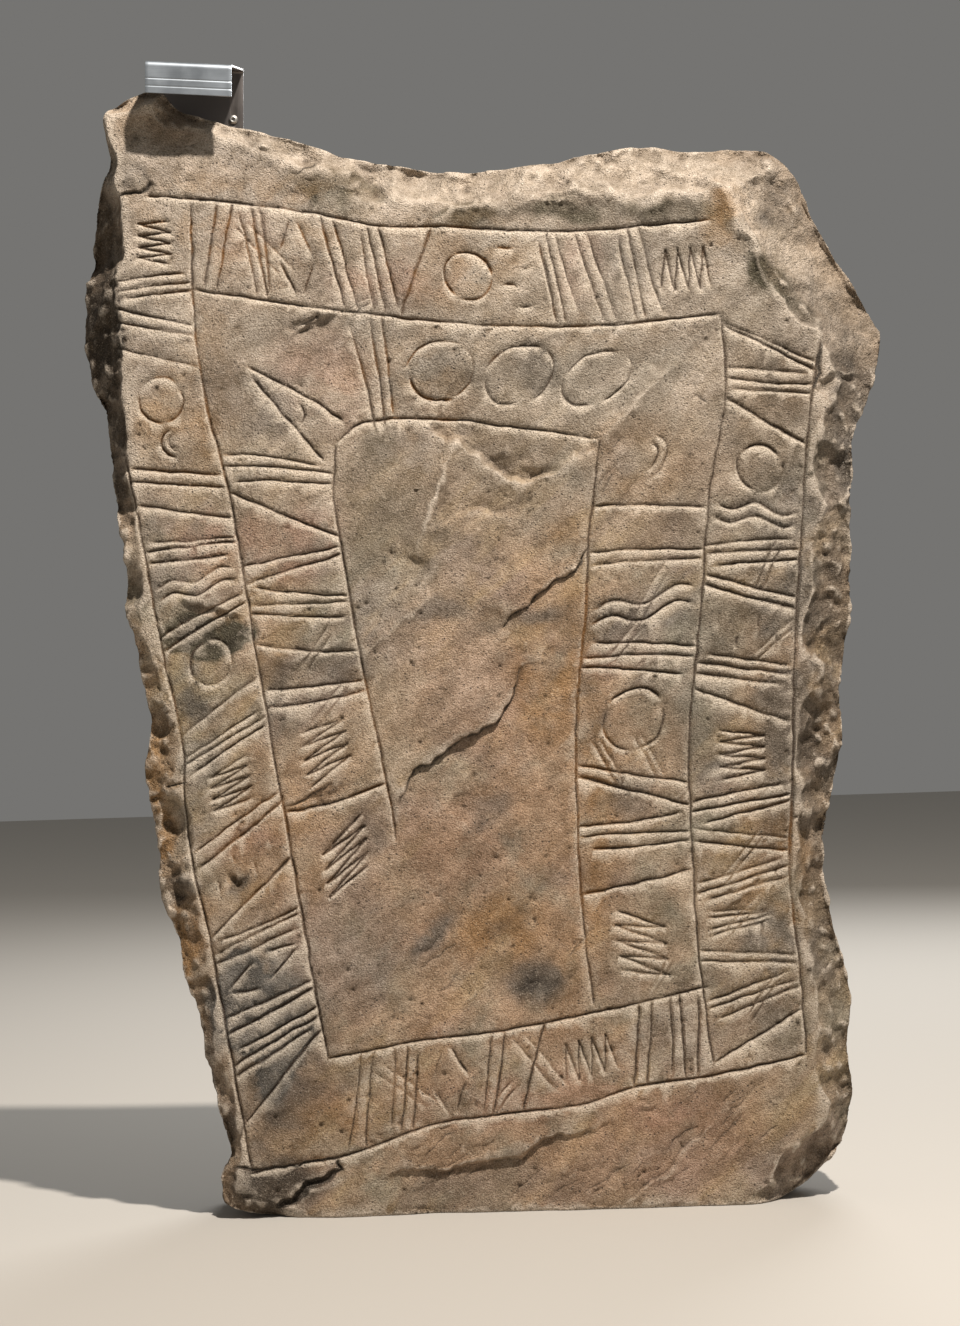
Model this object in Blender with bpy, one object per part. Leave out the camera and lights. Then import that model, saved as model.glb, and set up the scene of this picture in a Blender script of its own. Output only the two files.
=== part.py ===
# A carved stone stele, broken along its top and sides, with the bent steel hook that steadies it.
# Metres. +X is to the right, -Y towards the carved face, +Z up. The origin is the middle of the
# flat underside. The stone's own tables are in millimetres and are scaled by MM when a mesh is made.
from math import cos, pi, radians, sin, tan

import bmesh
import bpy
import numpy as np
from mathutils import Matrix, Vector
from mathutils.geometry import delaunay_2d_cdt

MM = 0.001
GAP = 0.3                     # left between two pieces that touch

# The slab.
FACE_FOOT = -75               # y of the carved face at the foot
FACE_LEAN = 0.016             # the face leans back by this much for each unit of height
BACK = 70                     # y of the back
BACK_INSET = 12               # how far the back's outline lies inside the front's
BACK_CHAMFER = 20             # how deep the broken edge round the back is
EDGE_STEP = 21                # spacing of points along the outline
FACE_STEP = 42                # spacing of free points on the face
BACK_STEP = 66                # spacing of free points on the back
FOOT_HALF = 252               # half the length of the flat underside

# The grooves.
RULE_HALF, RULE_DEPTH = 3.2, 2.6
SIGN_HALF, SIGN_DEPTH = 3.6, 3.0
CRACK_HALF, CRACK_DEPTH = 6.5, 9.0
RULE_STEP = 45
SIGN_GAP = 0.07               # share of a band's width left free at each end of a stroke

# The hook, a strip of sheet bent twice.
HOOK_WIDTH = 92
SHEET = 2.5
LIP_HEIGHT = 34
BEND_RADIUS = 5
HOOK_TOP = Vector((-318, -88, 1235.5))     # middle of the lip's upper edge, on its front face
HOOK_LEAN = radians(1.8)      # the hook stands plumb while the stone's foot is cut a little askew
HOOK_FALL = radians(2.7)      # its folds drop to the right by this much
HOOK_RISE = 27                # the top plate climbs this much towards the wall
PLATE_HEIGHT = 150
PLATE_FRONT = BACK + GAP      # y of the face that lies against the stone's back
BOLT_INSET, BOLT_LEVEL = 11, -30.6
BOLT_HOLE, BOLT_SHANK = 6.6, 6.0
BOLT_HEAD, BOLT_HEAD_HEIGHT, BOLT_SOCKET = 10.5, 3.4, 4.0

# The stone's edge from the foot's left corner round the top to its right corner.
# Each row: x, z, width of the worn or broken margin inside it, how far back that margin falls.
EDGE = [
    (-252, 0, 12, 8), (-283, 3, 16, 16), (-316, 17, 16, 18), (-321, 46, 16, 14), (-313, 66, 14, 13),
    (-321, 117, 16, 13), (-336, 184, 18, 13), (-341, 224, 20, 14), (-350, 248, 24, 15), (-361, 300, 28, 16),
    (-377, 352, 34, 17), (-383, 420, 34, 17), (-391, 486, 34, 17), (-384, 533, 26, 15), (-395, 595, 20, 13),
    (-398, 628, 18, 12), (-406, 652, 16, 12), (-405, 697, 16, 13), (-412, 747, 18, 18), (-419, 800, 22, 34),
    (-430, 880, 20, 58), (-441, 909, 22, 62), (-444, 997, 26, 64), (-436, 1051, 24, 62), (-429, 1095, 18, 50),
    (-420, 1121, 12, 30), (-410, 1141, 10, 24), (-412, 1165, 10, 20), (-413, 1190, 10, 18),
    (-394, 1206, 10, 18), (-356, 1218, 16, 28), (-342, 1201, 20, 30), (-311, 1185, 16, 24),
    (-268, 1173, 14, 20), (-221, 1160, 22, 26), (-157, 1140, 34, 34), (-93, 1127, 44, 40),
    (-44, 1121, 44, 42),
    (21, 1123, 40, 42), (86, 1130, 42, 42), (140, 1139, 56, 46), (174, 1142, 52, 48), (219, 1136, 48, 48),
    (268, 1140, 70, 60), (304, 1136, 80, 66), (337, 1103, 84, 72), (349, 1064, 80, 74), (366, 1022, 76, 74),
    (411, 956, 74, 74), (422, 924, 66, 70), (417, 895, 60, 62), (401, 857, 50, 48), (384, 820, 42, 40),
    (381, 774, 40, 36), (377, 720, 44, 36), (376, 660, 48, 36), (374, 621, 50, 38), (360, 546, 42, 36),
    (360, 494, 42, 36), (345, 427, 38, 34), (335, 346, 34, 32), (344, 292, 34, 32), (360, 215, 40, 34),
    (354, 162, 40, 34), (359, 109, 34, 36), (353, 71, 30, 40), (315, 26, 40, 46), (290, 7, 30, 36),
    (252, 0, 12, 8),
]

# Ruled lines, each through a few points (x, z).
RULES = {
    "outer_left": [(-401, 1105), (-412, 930), (-411, 885), (-390, 757), (-366, 600), (-348, 500),
                   (-349, 456), (-322, 275), (-290, 56)],
    "outer_top": [(-372, 1101), (-284, 1091), (-192, 1076), (-120, 1059), (-64, 1057), (60, 1048),
                  (235, 1055)],
    "outer_right": [(350, 926), (332, 828), (321, 716), (307, 564), (301, 430), (296, 366), (304, 247),
                    (308, 158)],
    "outer_foot": [(-290, 50), (-174, 69), (-107, 92), (-2, 106), (72, 113), (114, 126), (216, 140),
                   (308, 158)],
    "inner_left": [(-323, 1091), (-322, 953), (-309, 856), (-299, 815), (-267, 603), (-243, 436),
                   (-204, 169)],
    "inner_top": [(-321, 998), (-231, 981), (-150, 968), (-44, 953), (118, 946), (242, 954)],
    "inner_right": [(242, 954), (246, 890), (223, 754), (208, 616), (195, 519), (193, 396), (196, 274),
                    (208, 150)],
    "inner_foot": [(-204, 170), (-110, 185), (-22, 193), (79, 209), (205, 233)],
    "panel_left": [(-175, 828), (-179, 770), (-169, 690), (-151, 572), (-132, 463), (-123, 398)],
    "panel_top": [(-175, 828), (-165, 838), (-67, 851), (20, 839), (108, 824)],
    "panel_right": [(108, 824), (93, 715), (86, 627), (73, 523), (71, 430), (75, 298), (82, 216)],
}

# Rows of strokes between two ruled lines: first line and its used share, second line and its share,
# then one motif for each cell of the row. The motifs are plain strokes and spell nothing.
ROWS = [
    ("outer_left", (0.02, 0.96), "inner_left", (0.02, 1.0), "ztpsoapstwpostzpdstlpts"),
    ("outer_top", (0.09, 1.0), "inner_top", (0.01, 1.0), "ptlptsodtptz"),
    ("outer_right", (0.0, 0.98), "inner_right", (0.0, 1.0), "ptsowtpdtsztptfpts"),
    ("inner_left", (0.27, 0.86), "panel_left", (0.05, 1.0), "tsptspzsz"),
    ("inner_top", (0.29, 0.90), "panel_top", (0.08, 1.0), "tooo"),
    ("inner_right", (0.12, 0.91), "panel_right", (0.03, 0.93), "aspwtoptsz"),
    ("inner_foot", (0.02, 0.97), "outer_foot", (0.17, 0.84), "ptlpszpt"),
]
# Single strokes outside the rows, each through a few points (x, z).
LONE_STROKES = [
    [(-268, 913), (-215, 885), (-165, 851)], [(-262, 901), (-222, 850), (-187, 809)],
    [(-213, 873), (-207, 860), (-213, 846)],
]
ROUND = "oa"                  # motifs that keep their true proportions
LONG = "oz"                   # motifs whose cells are longer
LONG_CELL = 1.45

# Dips in the face: x, z, half sizes across and up, turn in degrees, depth (a swelling is negative).
DIPS = [
    (-352, 1172, 88, 44, -8, 10), (8, 738, 88, 82, 20, 7), (20, 560, 60, 46, -40, 4),
    (-60, 640, 90, 60, 10, -4), (-348, 361, 20, 18, 0, -9), (-298, 362, 16, 7, -50, 6),
    (-245, 1120, 120, 40, -12, 3), (-60, 300, 120, 160, 0, 3), (-300, 625, 44, 28, 5, 4),
    (200, 900, 70, 50, 40, 5), (-180, 900, 90, 60, -30, 3),
]

# The split flake in the middle of the panel: the stone stands lower on the right of this line.
LEDGE = [(17, 560), (0, 526), (-46, 502), (-88, 472), (-117, 448), (-126, 424)]
LEDGE_DROP, LEDGE_REACH, LEDGE_HALF = 7, 55, 3

# The crack that parts the lower left corner.
CRACK = [(-197, 50), (-226, 34), (-246, 20), (-268, 8)]

STONE = ((0.37, 0.28, 0.20, 1), 0.9, 0.0)
STEEL = ((0.52, 0.54, 0.56, 1), 0.38, 1.0)


def clear_scene():
    for item in list(bpy.data.objects):
        bpy.data.objects.remove(item, do_unlink=True)


def material(name, looks):
    colour, roughness, metallic = looks
    made = bpy.data.materials.new(name)
    made.use_nodes = True
    shader = made.node_tree.nodes["Principled BSDF"]
    shader.inputs["Base Color"].default_value = colour
    shader.inputs["Roughness"].default_value = roughness
    shader.inputs["Metallic"].default_value = metallic
    return made


def finished_mesh(name, shell):
    # A mesh from a bmesh whose faces are turned to point out.
    bmesh.ops.recalc_face_normals(shell, faces=shell.faces)
    mesh = bpy.data.meshes.new(name)
    shell.to_mesh(mesh)
    shell.free()
    return mesh


def add_object(name, mesh, surface, parent=None):
    made = bpy.data.objects.new(name, mesh)
    bpy.context.collection.objects.link(made)
    mesh.materials.append(surface)
    made.parent = parent
    return made


def swell(x, z, pitch, seed):
    # Smooth random field from -1 to 1 whose hills lie about one pitch apart.
    grid = np.random.default_rng(seed).uniform(-1, 1, (64, 64))
    u = np.asarray(x) / pitch + 32
    v = np.asarray(z) / pitch + 8
    i = np.floor(u).astype(int)
    j = np.floor(v).astype(int)
    a = (u - i) ** 2 * (3 - 2 * (u - i))
    b = (v - j) ** 2 * (3 - 2 * (v - j))
    low = grid[i % 64, j % 64] * (1 - a) + grid[(i + 1) % 64, j % 64] * a
    high = grid[i % 64, (j + 1) % 64] * (1 - a) + grid[(i + 1) % 64, (j + 1) % 64] * a
    return low * (1 - b) + high * b


def curve_through(knots, step):
    # Cubic curve through the knots, with chord-length tangents, read at equal steps along its length.
    knots = np.asarray(knots, float)
    time = np.r_[0, np.cumsum(np.linalg.norm(np.diff(knots[:, :2], axis=0), axis=1))]
    slope = np.gradient(knots, time, axis=0)
    fine = np.linspace(0, time[-1], len(knots) * 24)
    k = np.clip(np.searchsorted(time, fine, side="right") - 1, 0, len(knots) - 2)
    span = (time[k + 1] - time[k])[:, None]
    t = (fine - time[k])[:, None] / span
    path = ((2 * t ** 3 - 3 * t ** 2 + 1) * knots[k] + (3 * t ** 2 - 2 * t ** 3) * knots[k + 1]
            + (t ** 3 - 2 * t ** 2 + t) * span * slope[k] + (t ** 3 - t ** 2) * span * slope[k + 1])
    run = np.r_[0, np.cumsum(np.linalg.norm(np.diff(path[:, :2], axis=0), axis=1))]
    at = np.linspace(0, run[-1], max(2, round(run[-1] / step) + 1))
    return np.column_stack([np.interp(at, run, column) for column in path.T])


def at_share(path, share):
    # Point on a path at a share of its length.
    path = np.asarray(path, float)
    run = np.r_[0, np.cumsum(np.linalg.norm(np.diff(path, axis=0), axis=1))]
    return np.array([np.interp(share * run[-1], run, column) for column in path.T])


def edge_points(step):
    # The outline with its margin's width and fall, slightly rough, and straight along the foot.
    edge = curve_through(EDGE, step)
    edge[1:-1, 0] += 1.6 * swell(edge[1:-1, 1], edge[1:-1, 0], 23, 5)
    edge[1:-1, 1] += 1.6 * swell(edge[1:-1, 0], edge[1:-1, 1], 23, 6)
    edge[:, 1] = np.maximum(edge[:, 1], 0)
    count = round(2 * FOOT_HALF / (2.4 * step))
    foot = [(FOOT_HALF - 2 * FOOT_HALF * k / count, 0, 6, 4) for k in range(1, count)]
    return np.vstack([edge, foot])


def distance_to(points, path):
    # Shortest distance from each point to a path, the side it lies on (+1 is the left of travel)
    # and how far along the path, 0 to 1, the nearest place is.
    path = np.asarray(path, float)
    best = np.full(len(points), np.inf)
    side = np.zeros(len(points))
    along = np.zeros(len(points))
    for k, (start, end) in enumerate(zip(path[:-1], path[1:])):
        line = end - start
        offset = points - start
        t = np.clip(offset @ line / (line @ line), 0, 1)
        gap = np.linalg.norm(offset - t[:, None] * line, axis=1)
        closer = gap < best
        best[closer] = gap[closer]
        turn = offset[:, 1] * line[0] - offset[:, 0] * line[1]
        side[closer] = np.sign(turn)[closer]
        along[closer] = ((k + t) / (len(path) - 1))[closer]
    return best, side, along


def motif(kind):
    # Strokes of one cell as lists of (along, across), each from 0 to 1. No two strokes of a cell meet.
    def arc(start, end, across=0.5, size=0.46, steps=4):
        turns = [radians(start + (end - start) * k / steps) for k in range(steps + 1)]
        return [(0.5 + size * cos(turn), across + size * sin(turn)) for turn in turns]
    ends = [(u, v) for u in (-1, 1) for v in (-1, 1)]
    shapes = {
        "s": [[(0, 0), (1, 1)]],
        "p": [[(0, 0), (0.64, 1)], [(0.36, 0), (1, 1)]],
        "t": [[(0, 0.1), (0.4, 1)], [(0.3, 0), (0.7, 1)], [(0.6, 0), (1, 0.9)]],
        "f": [[(0.5 + k * 0.1, 0.2), (0.5 + k * 0.3, 0.95)] for k in (-1.5, -0.5, 0.5, 1.5)],
        "d": [[(0.52 * (k % 2), 0.14 + 0.24 * k), (0.4 + 0.6 * (k % 2), 0.14 + 0.24 * k)] for k in range(4)],
        "o": [arc(10 + 120 * k, 110 + 120 * k) for k in range(3)],
        "a": [arc(20, 160, 0.25, size) for size in (0.5, 0.28)],
        "w": [[(side + 0.14 * sin(3 * pi * k / 8), k / 8) for k in range(9)] for side in (0.3, 0.7)],
        "z": [[(k / 8, 0.25 + 0.5 * (k % 2)) for k in range(9)]],
        "l": [[(0.5 + 0.45 * u, 0.5 + 0.07 * v), (0.5 + 0.07 * u, 0.5 + 0.45 * v)] for u, v in ends],
    }
    return shapes[kind]


def row_strokes(first, first_share, second, second_share, kinds, seed):
    # Lays one motif after another along a row, turned about at random, as paths in millimetres.
    chance = np.random.default_rng(seed)
    weights = np.array([LONG_CELL if kind in LONG else 1 for kind in kinds])
    starts = np.r_[0, np.cumsum(weights)] / weights.sum()

    def ends_at(share):
        one = at_share(RULES[first], first_share[0] + (first_share[1] - first_share[0]) * share)
        two = at_share(RULES[second], second_share[0] + (second_share[1] - second_share[0]) * share)
        return one, two
    strokes = []
    for kind, start, end in zip(kinds, starts[:-1], starts[1:]):
        flips = chance.integers(0, 2, 2)
        (low, far_low), (high, far_high) = ends_at(start), ends_at(end)
        length = np.linalg.norm((high + far_high - low - far_low) / 2)
        width = np.linalg.norm((far_high + far_low - low - high) / 2)
        size = np.array([0.84, 1 - 2 * SIGN_GAP])
        if kind in ROUND:
            size = min(length, width) * 0.9 / np.array([length, width])
        for stroke in motif(kind):
            turned = np.where(flips, 1 - np.array(stroke), stroke)
            path = []
            for along, across in 0.5 + (turned - 0.5) * size:
                one, two = ends_at(start + along * (end - start))
                path.append(one + (two - one) * across)
            strokes.append(np.array(path))
    return strokes


def all_grooves():
    # Every cut line as (path, half width, depth).
    grooves = [(curve_through(line, RULE_STEP), RULE_HALF, RULE_DEPTH) for line in RULES.values()]
    for seed, row in enumerate(ROWS):
        grooves += [(path, SIGN_HALF, SIGN_DEPTH) for path in row_strokes(*row, seed)]
    grooves += [(np.array(path, float), SIGN_HALF, SIGN_DEPTH) for path in LONE_STROKES]
    grooves.append((np.array(CRACK, float), CRACK_HALF, CRACK_DEPTH))
    return grooves


def groove_depth(points, grooves):
    # V section: deepest on the path, nothing at the half width. Where two cross, the deeper one counts.
    depth = np.zeros(len(points))
    for path, half, deep in grooves:
        low = path.min(axis=0) - half
        high = path.max(axis=0) + half
        near = np.flatnonzero(((points > low) & (points < high)).all(axis=1))
        gap, _, _ = distance_to(points[near], path)
        depth[near] = np.maximum(depth[near], deep * np.clip(1 - gap / half, 0, 1))
    return depth


def margin_fall(points, rim):
    # The broken margin: the deepest of the slopes that run in from every place on the rim.
    fall = np.zeros(len(points))
    for x, z, width, deep in rim:
        gap = np.hypot(points[:, 0] - x, points[:, 1] - z)
        fall = np.maximum(fall, deep * np.clip(1 - gap / width, 0, 1) ** 0.9)
    return fall


def ledge_drop(points):
    # A step down across the ledge that dies away on its right and towards both its ends.
    gap, side, along = distance_to(points, LEDGE)
    across = np.clip(0.5 + side * gap / (2 * LEDGE_HALF), 0, 1)
    ends = np.clip(4 * along * (1 - along), 0, 1) ** 0.5
    return LEDGE_DROP * ends * across * np.exp(-gap / LEDGE_REACH)


def dips(points):
    # Each dip is a smooth bowl: depth times (1 - r^2)^2 inside its ellipse.
    depth = np.zeros(len(points))
    for x, z, half_x, half_z, turn, deep in DIPS:
        c, s = cos(radians(turn)), sin(radians(turn))
        dx, dz = points[:, 0] - x, points[:, 1] - z
        r2 = ((dx * c + dz * s) / half_x) ** 2 + ((dz * c - dx * s) / half_z) ** 2
        depth += deep * np.clip(1 - r2, 0, 1) ** 2
    return depth


def face_y(points, rim, grooves):
    # The carved face: a plane that leans back, worn hollows, the ledge, the broken margin, the grooves.
    x, z = points[:, 0], points[:, 1]
    margin = margin_fall(points, rim)
    worn = 2.2 * swell(x, z, 150, 1) + 1.1 * swell(x, z, 62, 2)
    rough = np.clip(margin / 8, 0, 1) * 3.0 * swell(x, z, 21, 3)
    carved = groove_depth(points, grooves) * np.clip(1 - margin / 30, 0, 1)
    return FACE_FOOT + FACE_LEAN * z + worn + dips(points) + ledge_drop(points) + margin + rough + carved


def groove_net(path, half):
    # Centre line and both edges of a groove, closed to a point at its ends: points and index pairs.
    tangent = np.gradient(path, axis=0)
    tangent /= np.linalg.norm(tangent, axis=1)[:, None]
    normal = np.column_stack([-tangent[:, 1], tangent[:, 0]])
    count = len(path)
    tips = np.array([path[0] - half * tangent[0], path[-1] + half * tangent[-1]])
    points = np.vstack([path, path + half * normal, path - half * normal, tips])
    pairs = [(row * count + k, row * count + k + 1) for row in range(3) for k in range(count - 1)]
    for row in (1, 2):
        pairs += [(3 * count, row * count), (row * count + count - 1, 3 * count + 1)]
    return points, pairs


def inside(points, ring):
    # Even-odd rule: a point is inside when a line to its right crosses the ring an odd number of times.
    result = np.zeros(len(points), bool)
    for (x1, z1), (x2, z2) in zip(ring, np.roll(ring, -1, axis=0)):
        crosses = (z1 > points[:, 1]) != (z2 > points[:, 1])
        reach = x1 + (points[:, 1] - z1) * (x2 - x1) / (z2 - z1 if z2 != z1 else 1)
        result ^= crosses & (points[:, 0] < reach)
    return result


def clear_of(spots, paths, keep_off):
    # The spots that lie further than keep_off from every path, counted from its half width.
    for path, half in paths:
        gap, _, _ = distance_to(spots, path)
        spots = spots[gap > half + keep_off]
    return spots


def free_points(ring, step, seed):
    # Points in offset rows over the ring's inside, nudged a little.
    chance = np.random.default_rng(seed)
    low, high = ring.min(axis=0), ring.max(axis=0)
    spots = []
    for k, z in enumerate(np.arange(low[1], high[1], step * 0.87)):
        spots += [(x + step * 0.5 * (k % 2), z) for x in np.arange(low[0], high[0], step)]
    spots = np.array(spots) + chance.uniform(-0.18, 0.18, (len(spots), 2)) * step
    return spots[inside(spots, ring)]


def triangulate(ring, extra, pairs):
    # Constrained Delaunay triangles of the ring's inside, and where each ring point is among its points.
    points = [Vector(p) for p in np.vstack([ring, extra])]
    edges = [(a + len(ring), b + len(ring)) for a, b in pairs]
    outline = list(range(len(ring)))
    flat, _, faces, origins, _, _ = delaunay_2d_cdt(points, edges, [outline], 1, 0.02)
    where = {origin: k for k, sources in enumerate(origins) for origin in sources}
    return np.array([tuple(p) for p in flat]), faces, [where[k] for k in outline]


def inward(ring):
    # Unit normals that point into a ring listed clockwise as seen from the front.
    tangent = np.roll(ring, -1, axis=0) - np.roll(ring, 1, axis=0)
    tangent /= np.linalg.norm(tangent, axis=1)[:, None]
    return np.column_stack([tangent[:, 1], -tangent[:, 0]])


def face_layout(rim, grooves):
    # The carved face seen flat: grooves and ledge as constraints, two rows of points down the margin,
    # free points between.
    ring = rim[:, :2]
    closed = (np.vstack([ring, ring[:1]]), 0)
    nets = [(path, half) for path, half, _ in grooves] + [(curve_through(LEDGE, 20), LEDGE_HALF)]
    extra, pairs = [], []
    for path, half in nets:
        points, links = groove_net(path, half)
        start = sum(len(part) for part in extra)
        extra.append(points)
        pairs += [(a + start, b + start) for a, b in links]
    for share in (0.5, 1.0):
        row = (ring + inward(ring) * rim[:, 2:3] * share)[ring[:, 1] > 0]
        row = row[inside(row, ring)]
        extra.append(clear_of(row, nets + [closed], 4))
    extra.append(clear_of(free_points(ring, FACE_STEP, 4), nets + [closed], 7))
    return triangulate(ring, np.vstack(extra), pairs)


def side_rings(ring, rim_y):
    # Three rings behind the rim, drawn in a little more each time. The foot's points stay on z = 0.
    into = inward(ring)
    on_foot = ring[:, 1] == 0
    rough = swell(ring[:, 0], ring[:, 1], 40, 8)
    rings = []
    for share, inset in ((0.45, 3), (1.0, 4.5), (1.0, BACK_INSET + 3)):
        y = rim_y + (BACK - BACK_CHAMFER - rim_y) * share
        if inset > BACK_INSET:
            y = np.where(on_foot, BACK - 3, BACK)
        spots = ring + into * (inset + rough * inset / 5)[:, None]
        spots[on_foot, 1] = 0
        rings.append(np.column_stack([spots[:, 0], y, np.maximum(spots[:, 1], 0)]))
    return rings


def back_surface(ring):
    # A few free points, worn in from the back's plane except where the hook's plate lies.
    flat, faces, ring_ids = triangulate(ring, clear_of(free_points(ring, BACK_STEP, 9), [(ring, 0)], 16), [])
    seat = np.hypot(flat[:, 0] - HOOK_TOP.x, flat[:, 1] - HOOK_TOP.z + PLATE_HEIGHT / 2)
    worn = (3.5 + 3.5 * swell(flat[:, 0], flat[:, 1], 90, 11)) * np.clip(seat / 60 - 1.5, 0, 1)
    return np.column_stack([flat[:, 0], BACK - worn, flat[:, 1]]), faces, ring_ids


def build_stele(surface):
    rim = edge_points(EDGE_STEP)
    grooves = all_grooves()
    flat, faces, ring_ids = face_layout(rim, grooves)
    y = face_y(flat, edge_points(4), grooves)
    shell = bmesh.new()
    front = [shell.verts.new(Vector((x, deep, z)) * MM) for (x, z), deep in zip(flat, y)]
    for face in faces:
        shell.faces.new([front[k] for k in face])
    last = [front[k] for k in ring_ids]
    for ring in side_rings(rim[:, :2], y[ring_ids]):
        verts = [shell.verts.new(Vector(spot) * MM) for spot in ring]
        for k in range(len(verts)):
            n = (k + 1) % len(verts)
            shell.faces.new((last[k], last[n], verts[n], verts[k]))
        last = verts
    points, faces, ring_ids = back_surface(ring[:, [0, 2]])
    shared = {place: last[k] for k, place in enumerate(ring_ids)}
    back = [shared.get(k) or shell.verts.new(Vector(point) * MM) for k, point in enumerate(points)]
    for face in faces:
        shell.faces.new([back[k] for k in reversed(face)])
    bmesh.ops.triangulate(shell, faces=shell.faces)
    return add_object("stele", finished_mesh("stele", shell), surface)


def strip_outline(path, thickness, radius, steps=5):
    # Section of a bent strip: corners of the middle line rounded, then half the thickness to each side.
    middle = [Vector(path[0])]
    for before, corner, after in zip(path[:-2], path[1:-1], path[2:]):
        before, corner, after = Vector(before), Vector(corner), Vector(after)
        arrive, leave = (corner - before).normalized(), (after - corner).normalized()
        turn = arrive.angle(leave)
        start = corner - arrive * radius * tan(turn / 2)
        end = corner + leave * radius * tan(turn / 2)
        for k in range(steps + 1):
            t = k / steps
            middle.append(start * (1 - t) ** 2 + corner * 2 * t * (1 - t) + end * t ** 2)
    middle.append(Vector(path[-1]))
    sides = [[], []]
    for k, point in enumerate(middle):
        ahead = middle[min(k + 1, len(middle) - 1)] - middle[max(k - 1, 0)]
        normal = Vector((-ahead.y, ahead.x)).normalized() * thickness / 2
        sides[0].append(point + normal)
        sides[1].append(point - normal)
    return sides[0] + sides[1][::-1]


def build_hook(frame, surface):
    # Section in (y, z) about the lip's upper front edge, drawn out along x, its folds falling rightwards.
    half = SHEET / 2
    back = PLATE_FRONT + half - HOOK_TOP.y
    path = [(half, -LIP_HEIGHT), (half, -half), (back, HOOK_RISE - half), (back, HOOK_RISE - PLATE_HEIGHT)]
    outline = strip_outline(path, SHEET, BEND_RADIUS)
    shell = bmesh.new()
    ends = []
    for x in (-HOOK_WIDTH / 2, HOOK_WIDTH / 2):
        ends.append([shell.verts.new(Vector((x, p.x, p.y - x * tan(HOOK_FALL))) * MM) for p in outline])
    for k in range(len(outline)):
        n = (k + 1) % len(outline)
        shell.faces.new((ends[0][k], ends[0][n], ends[1][n], ends[1][k]))
    shell.faces.new(ends[0])
    shell.faces.new(ends[1])
    return add_object("wall_hook", finished_mesh("wall_hook", shell), surface, frame)


def bolt_place(side):
    # Where a bolt's axis meets the plate's front, in the hook's own frame.
    x = side * (HOOK_WIDTH / 2 - BOLT_INSET)
    return Vector((x, PLATE_FRONT - HOOK_TOP.y, BOLT_LEVEL - x * tan(HOOK_FALL)))


def add_cutter(name, target, radius, depth, sides, place, parent):
    # A prism along y that a Boolean takes out of the target.
    shell = bmesh.new()
    bmesh.ops.create_cone(shell, cap_ends=True, segments=sides, radius1=radius * MM, radius2=radius * MM,
                          depth=depth * MM, matrix=Matrix.Rotation(pi / 2, 4, "X"))
    cutter = bpy.data.objects.new(name, finished_mesh(name, shell))
    bpy.context.collection.objects.link(cutter)
    cutter.parent = parent
    cutter.location = place * MM
    cutter.hide_render = True
    cutter.display_type = "WIRE"
    cut = target.modifiers.new(name, "BOOLEAN")
    cut.operation = "DIFFERENCE"
    cut.object = cutter


def build_bolt(name, side, frame, surface, sides=16):
    # A button-head screw: a domed head in front of the plate, a shank that ends flush with its back.
    head, shank = BOLT_HEAD / 2, BOLT_SHANK / 2
    dome = [(head * cos(radians(a)), BOLT_HEAD_HEIGHT * sin(radians(a))) for a in (0, 30, 55)]
    profile = [(shank, -SHEET - GAP)] + [(shank, 0)] + dome
    shell = bmesh.new()
    loops = []
    for radius, out in profile:
        turns = [2 * pi * k / sides for k in range(sides)]
        loops.append([shell.verts.new(Vector((radius * cos(a), -out, radius * sin(a))) * MM) for a in turns])
    for low, high in zip(loops[:-1], loops[1:]):
        for k in range(sides):
            n = (k + 1) % sides
            shell.faces.new((low[k], low[n], high[n], high[k]))
    shell.faces.new(loops[0])
    shell.faces.new(loops[-1])
    mesh = finished_mesh(name, shell)
    mesh.shade_smooth()
    mesh.set_sharp_from_angle(angle=radians(35))
    bolt = add_object(name, mesh, surface, frame)
    place = bolt_place(side) - Vector((0, GAP, 0))
    bolt.location = place * MM
    top = place - Vector((0, BOLT_HEAD_HEIGHT, 0))
    add_cutter(name + "_socket", bolt, BOLT_SOCKET / 2 / cos(pi / 6), 4, 6, top, frame)
    return bolt


def build():
    clear_scene()
    stone = material("stone", STONE)
    steel = material("steel", STEEL)
    build_stele(stone)
    frame = bpy.data.objects.new("hook_frame", None)
    bpy.context.collection.objects.link(frame)
    frame.location = HOOK_TOP * MM
    frame.rotation_euler = (0, HOOK_LEAN, 0)
    hook = build_hook(frame, steel)
    for name, side in (("bolt_right", 1), ("bolt_left", -1)):
        hole = bolt_place(side)
        add_cutter(name + "_hole", hook, BOLT_HOLE / 2, 12, 16, hole, frame)
        build_bolt(name, side, frame, steel)


build()
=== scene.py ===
import math

import bmesh
import bpy
import numpy as np
from mathutils import Matrix, Vector


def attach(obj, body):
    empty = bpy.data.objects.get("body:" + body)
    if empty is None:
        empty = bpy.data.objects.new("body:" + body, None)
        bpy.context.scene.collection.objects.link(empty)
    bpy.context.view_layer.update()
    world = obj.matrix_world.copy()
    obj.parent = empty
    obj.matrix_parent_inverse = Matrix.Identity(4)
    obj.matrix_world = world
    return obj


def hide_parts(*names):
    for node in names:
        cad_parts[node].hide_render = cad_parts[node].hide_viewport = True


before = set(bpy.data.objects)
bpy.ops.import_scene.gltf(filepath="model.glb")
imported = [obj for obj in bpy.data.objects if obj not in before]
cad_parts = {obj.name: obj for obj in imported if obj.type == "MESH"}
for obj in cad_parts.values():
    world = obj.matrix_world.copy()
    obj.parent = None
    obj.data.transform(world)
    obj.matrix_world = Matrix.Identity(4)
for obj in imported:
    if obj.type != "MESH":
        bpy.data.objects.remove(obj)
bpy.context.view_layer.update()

# A carved sandstone stele and the bent steel hook that steadies it against a wall.
# Tables are in millimetres: x to the right, z up, y away from the viewer. Meshes are in metres.
mm = 0.001


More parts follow.
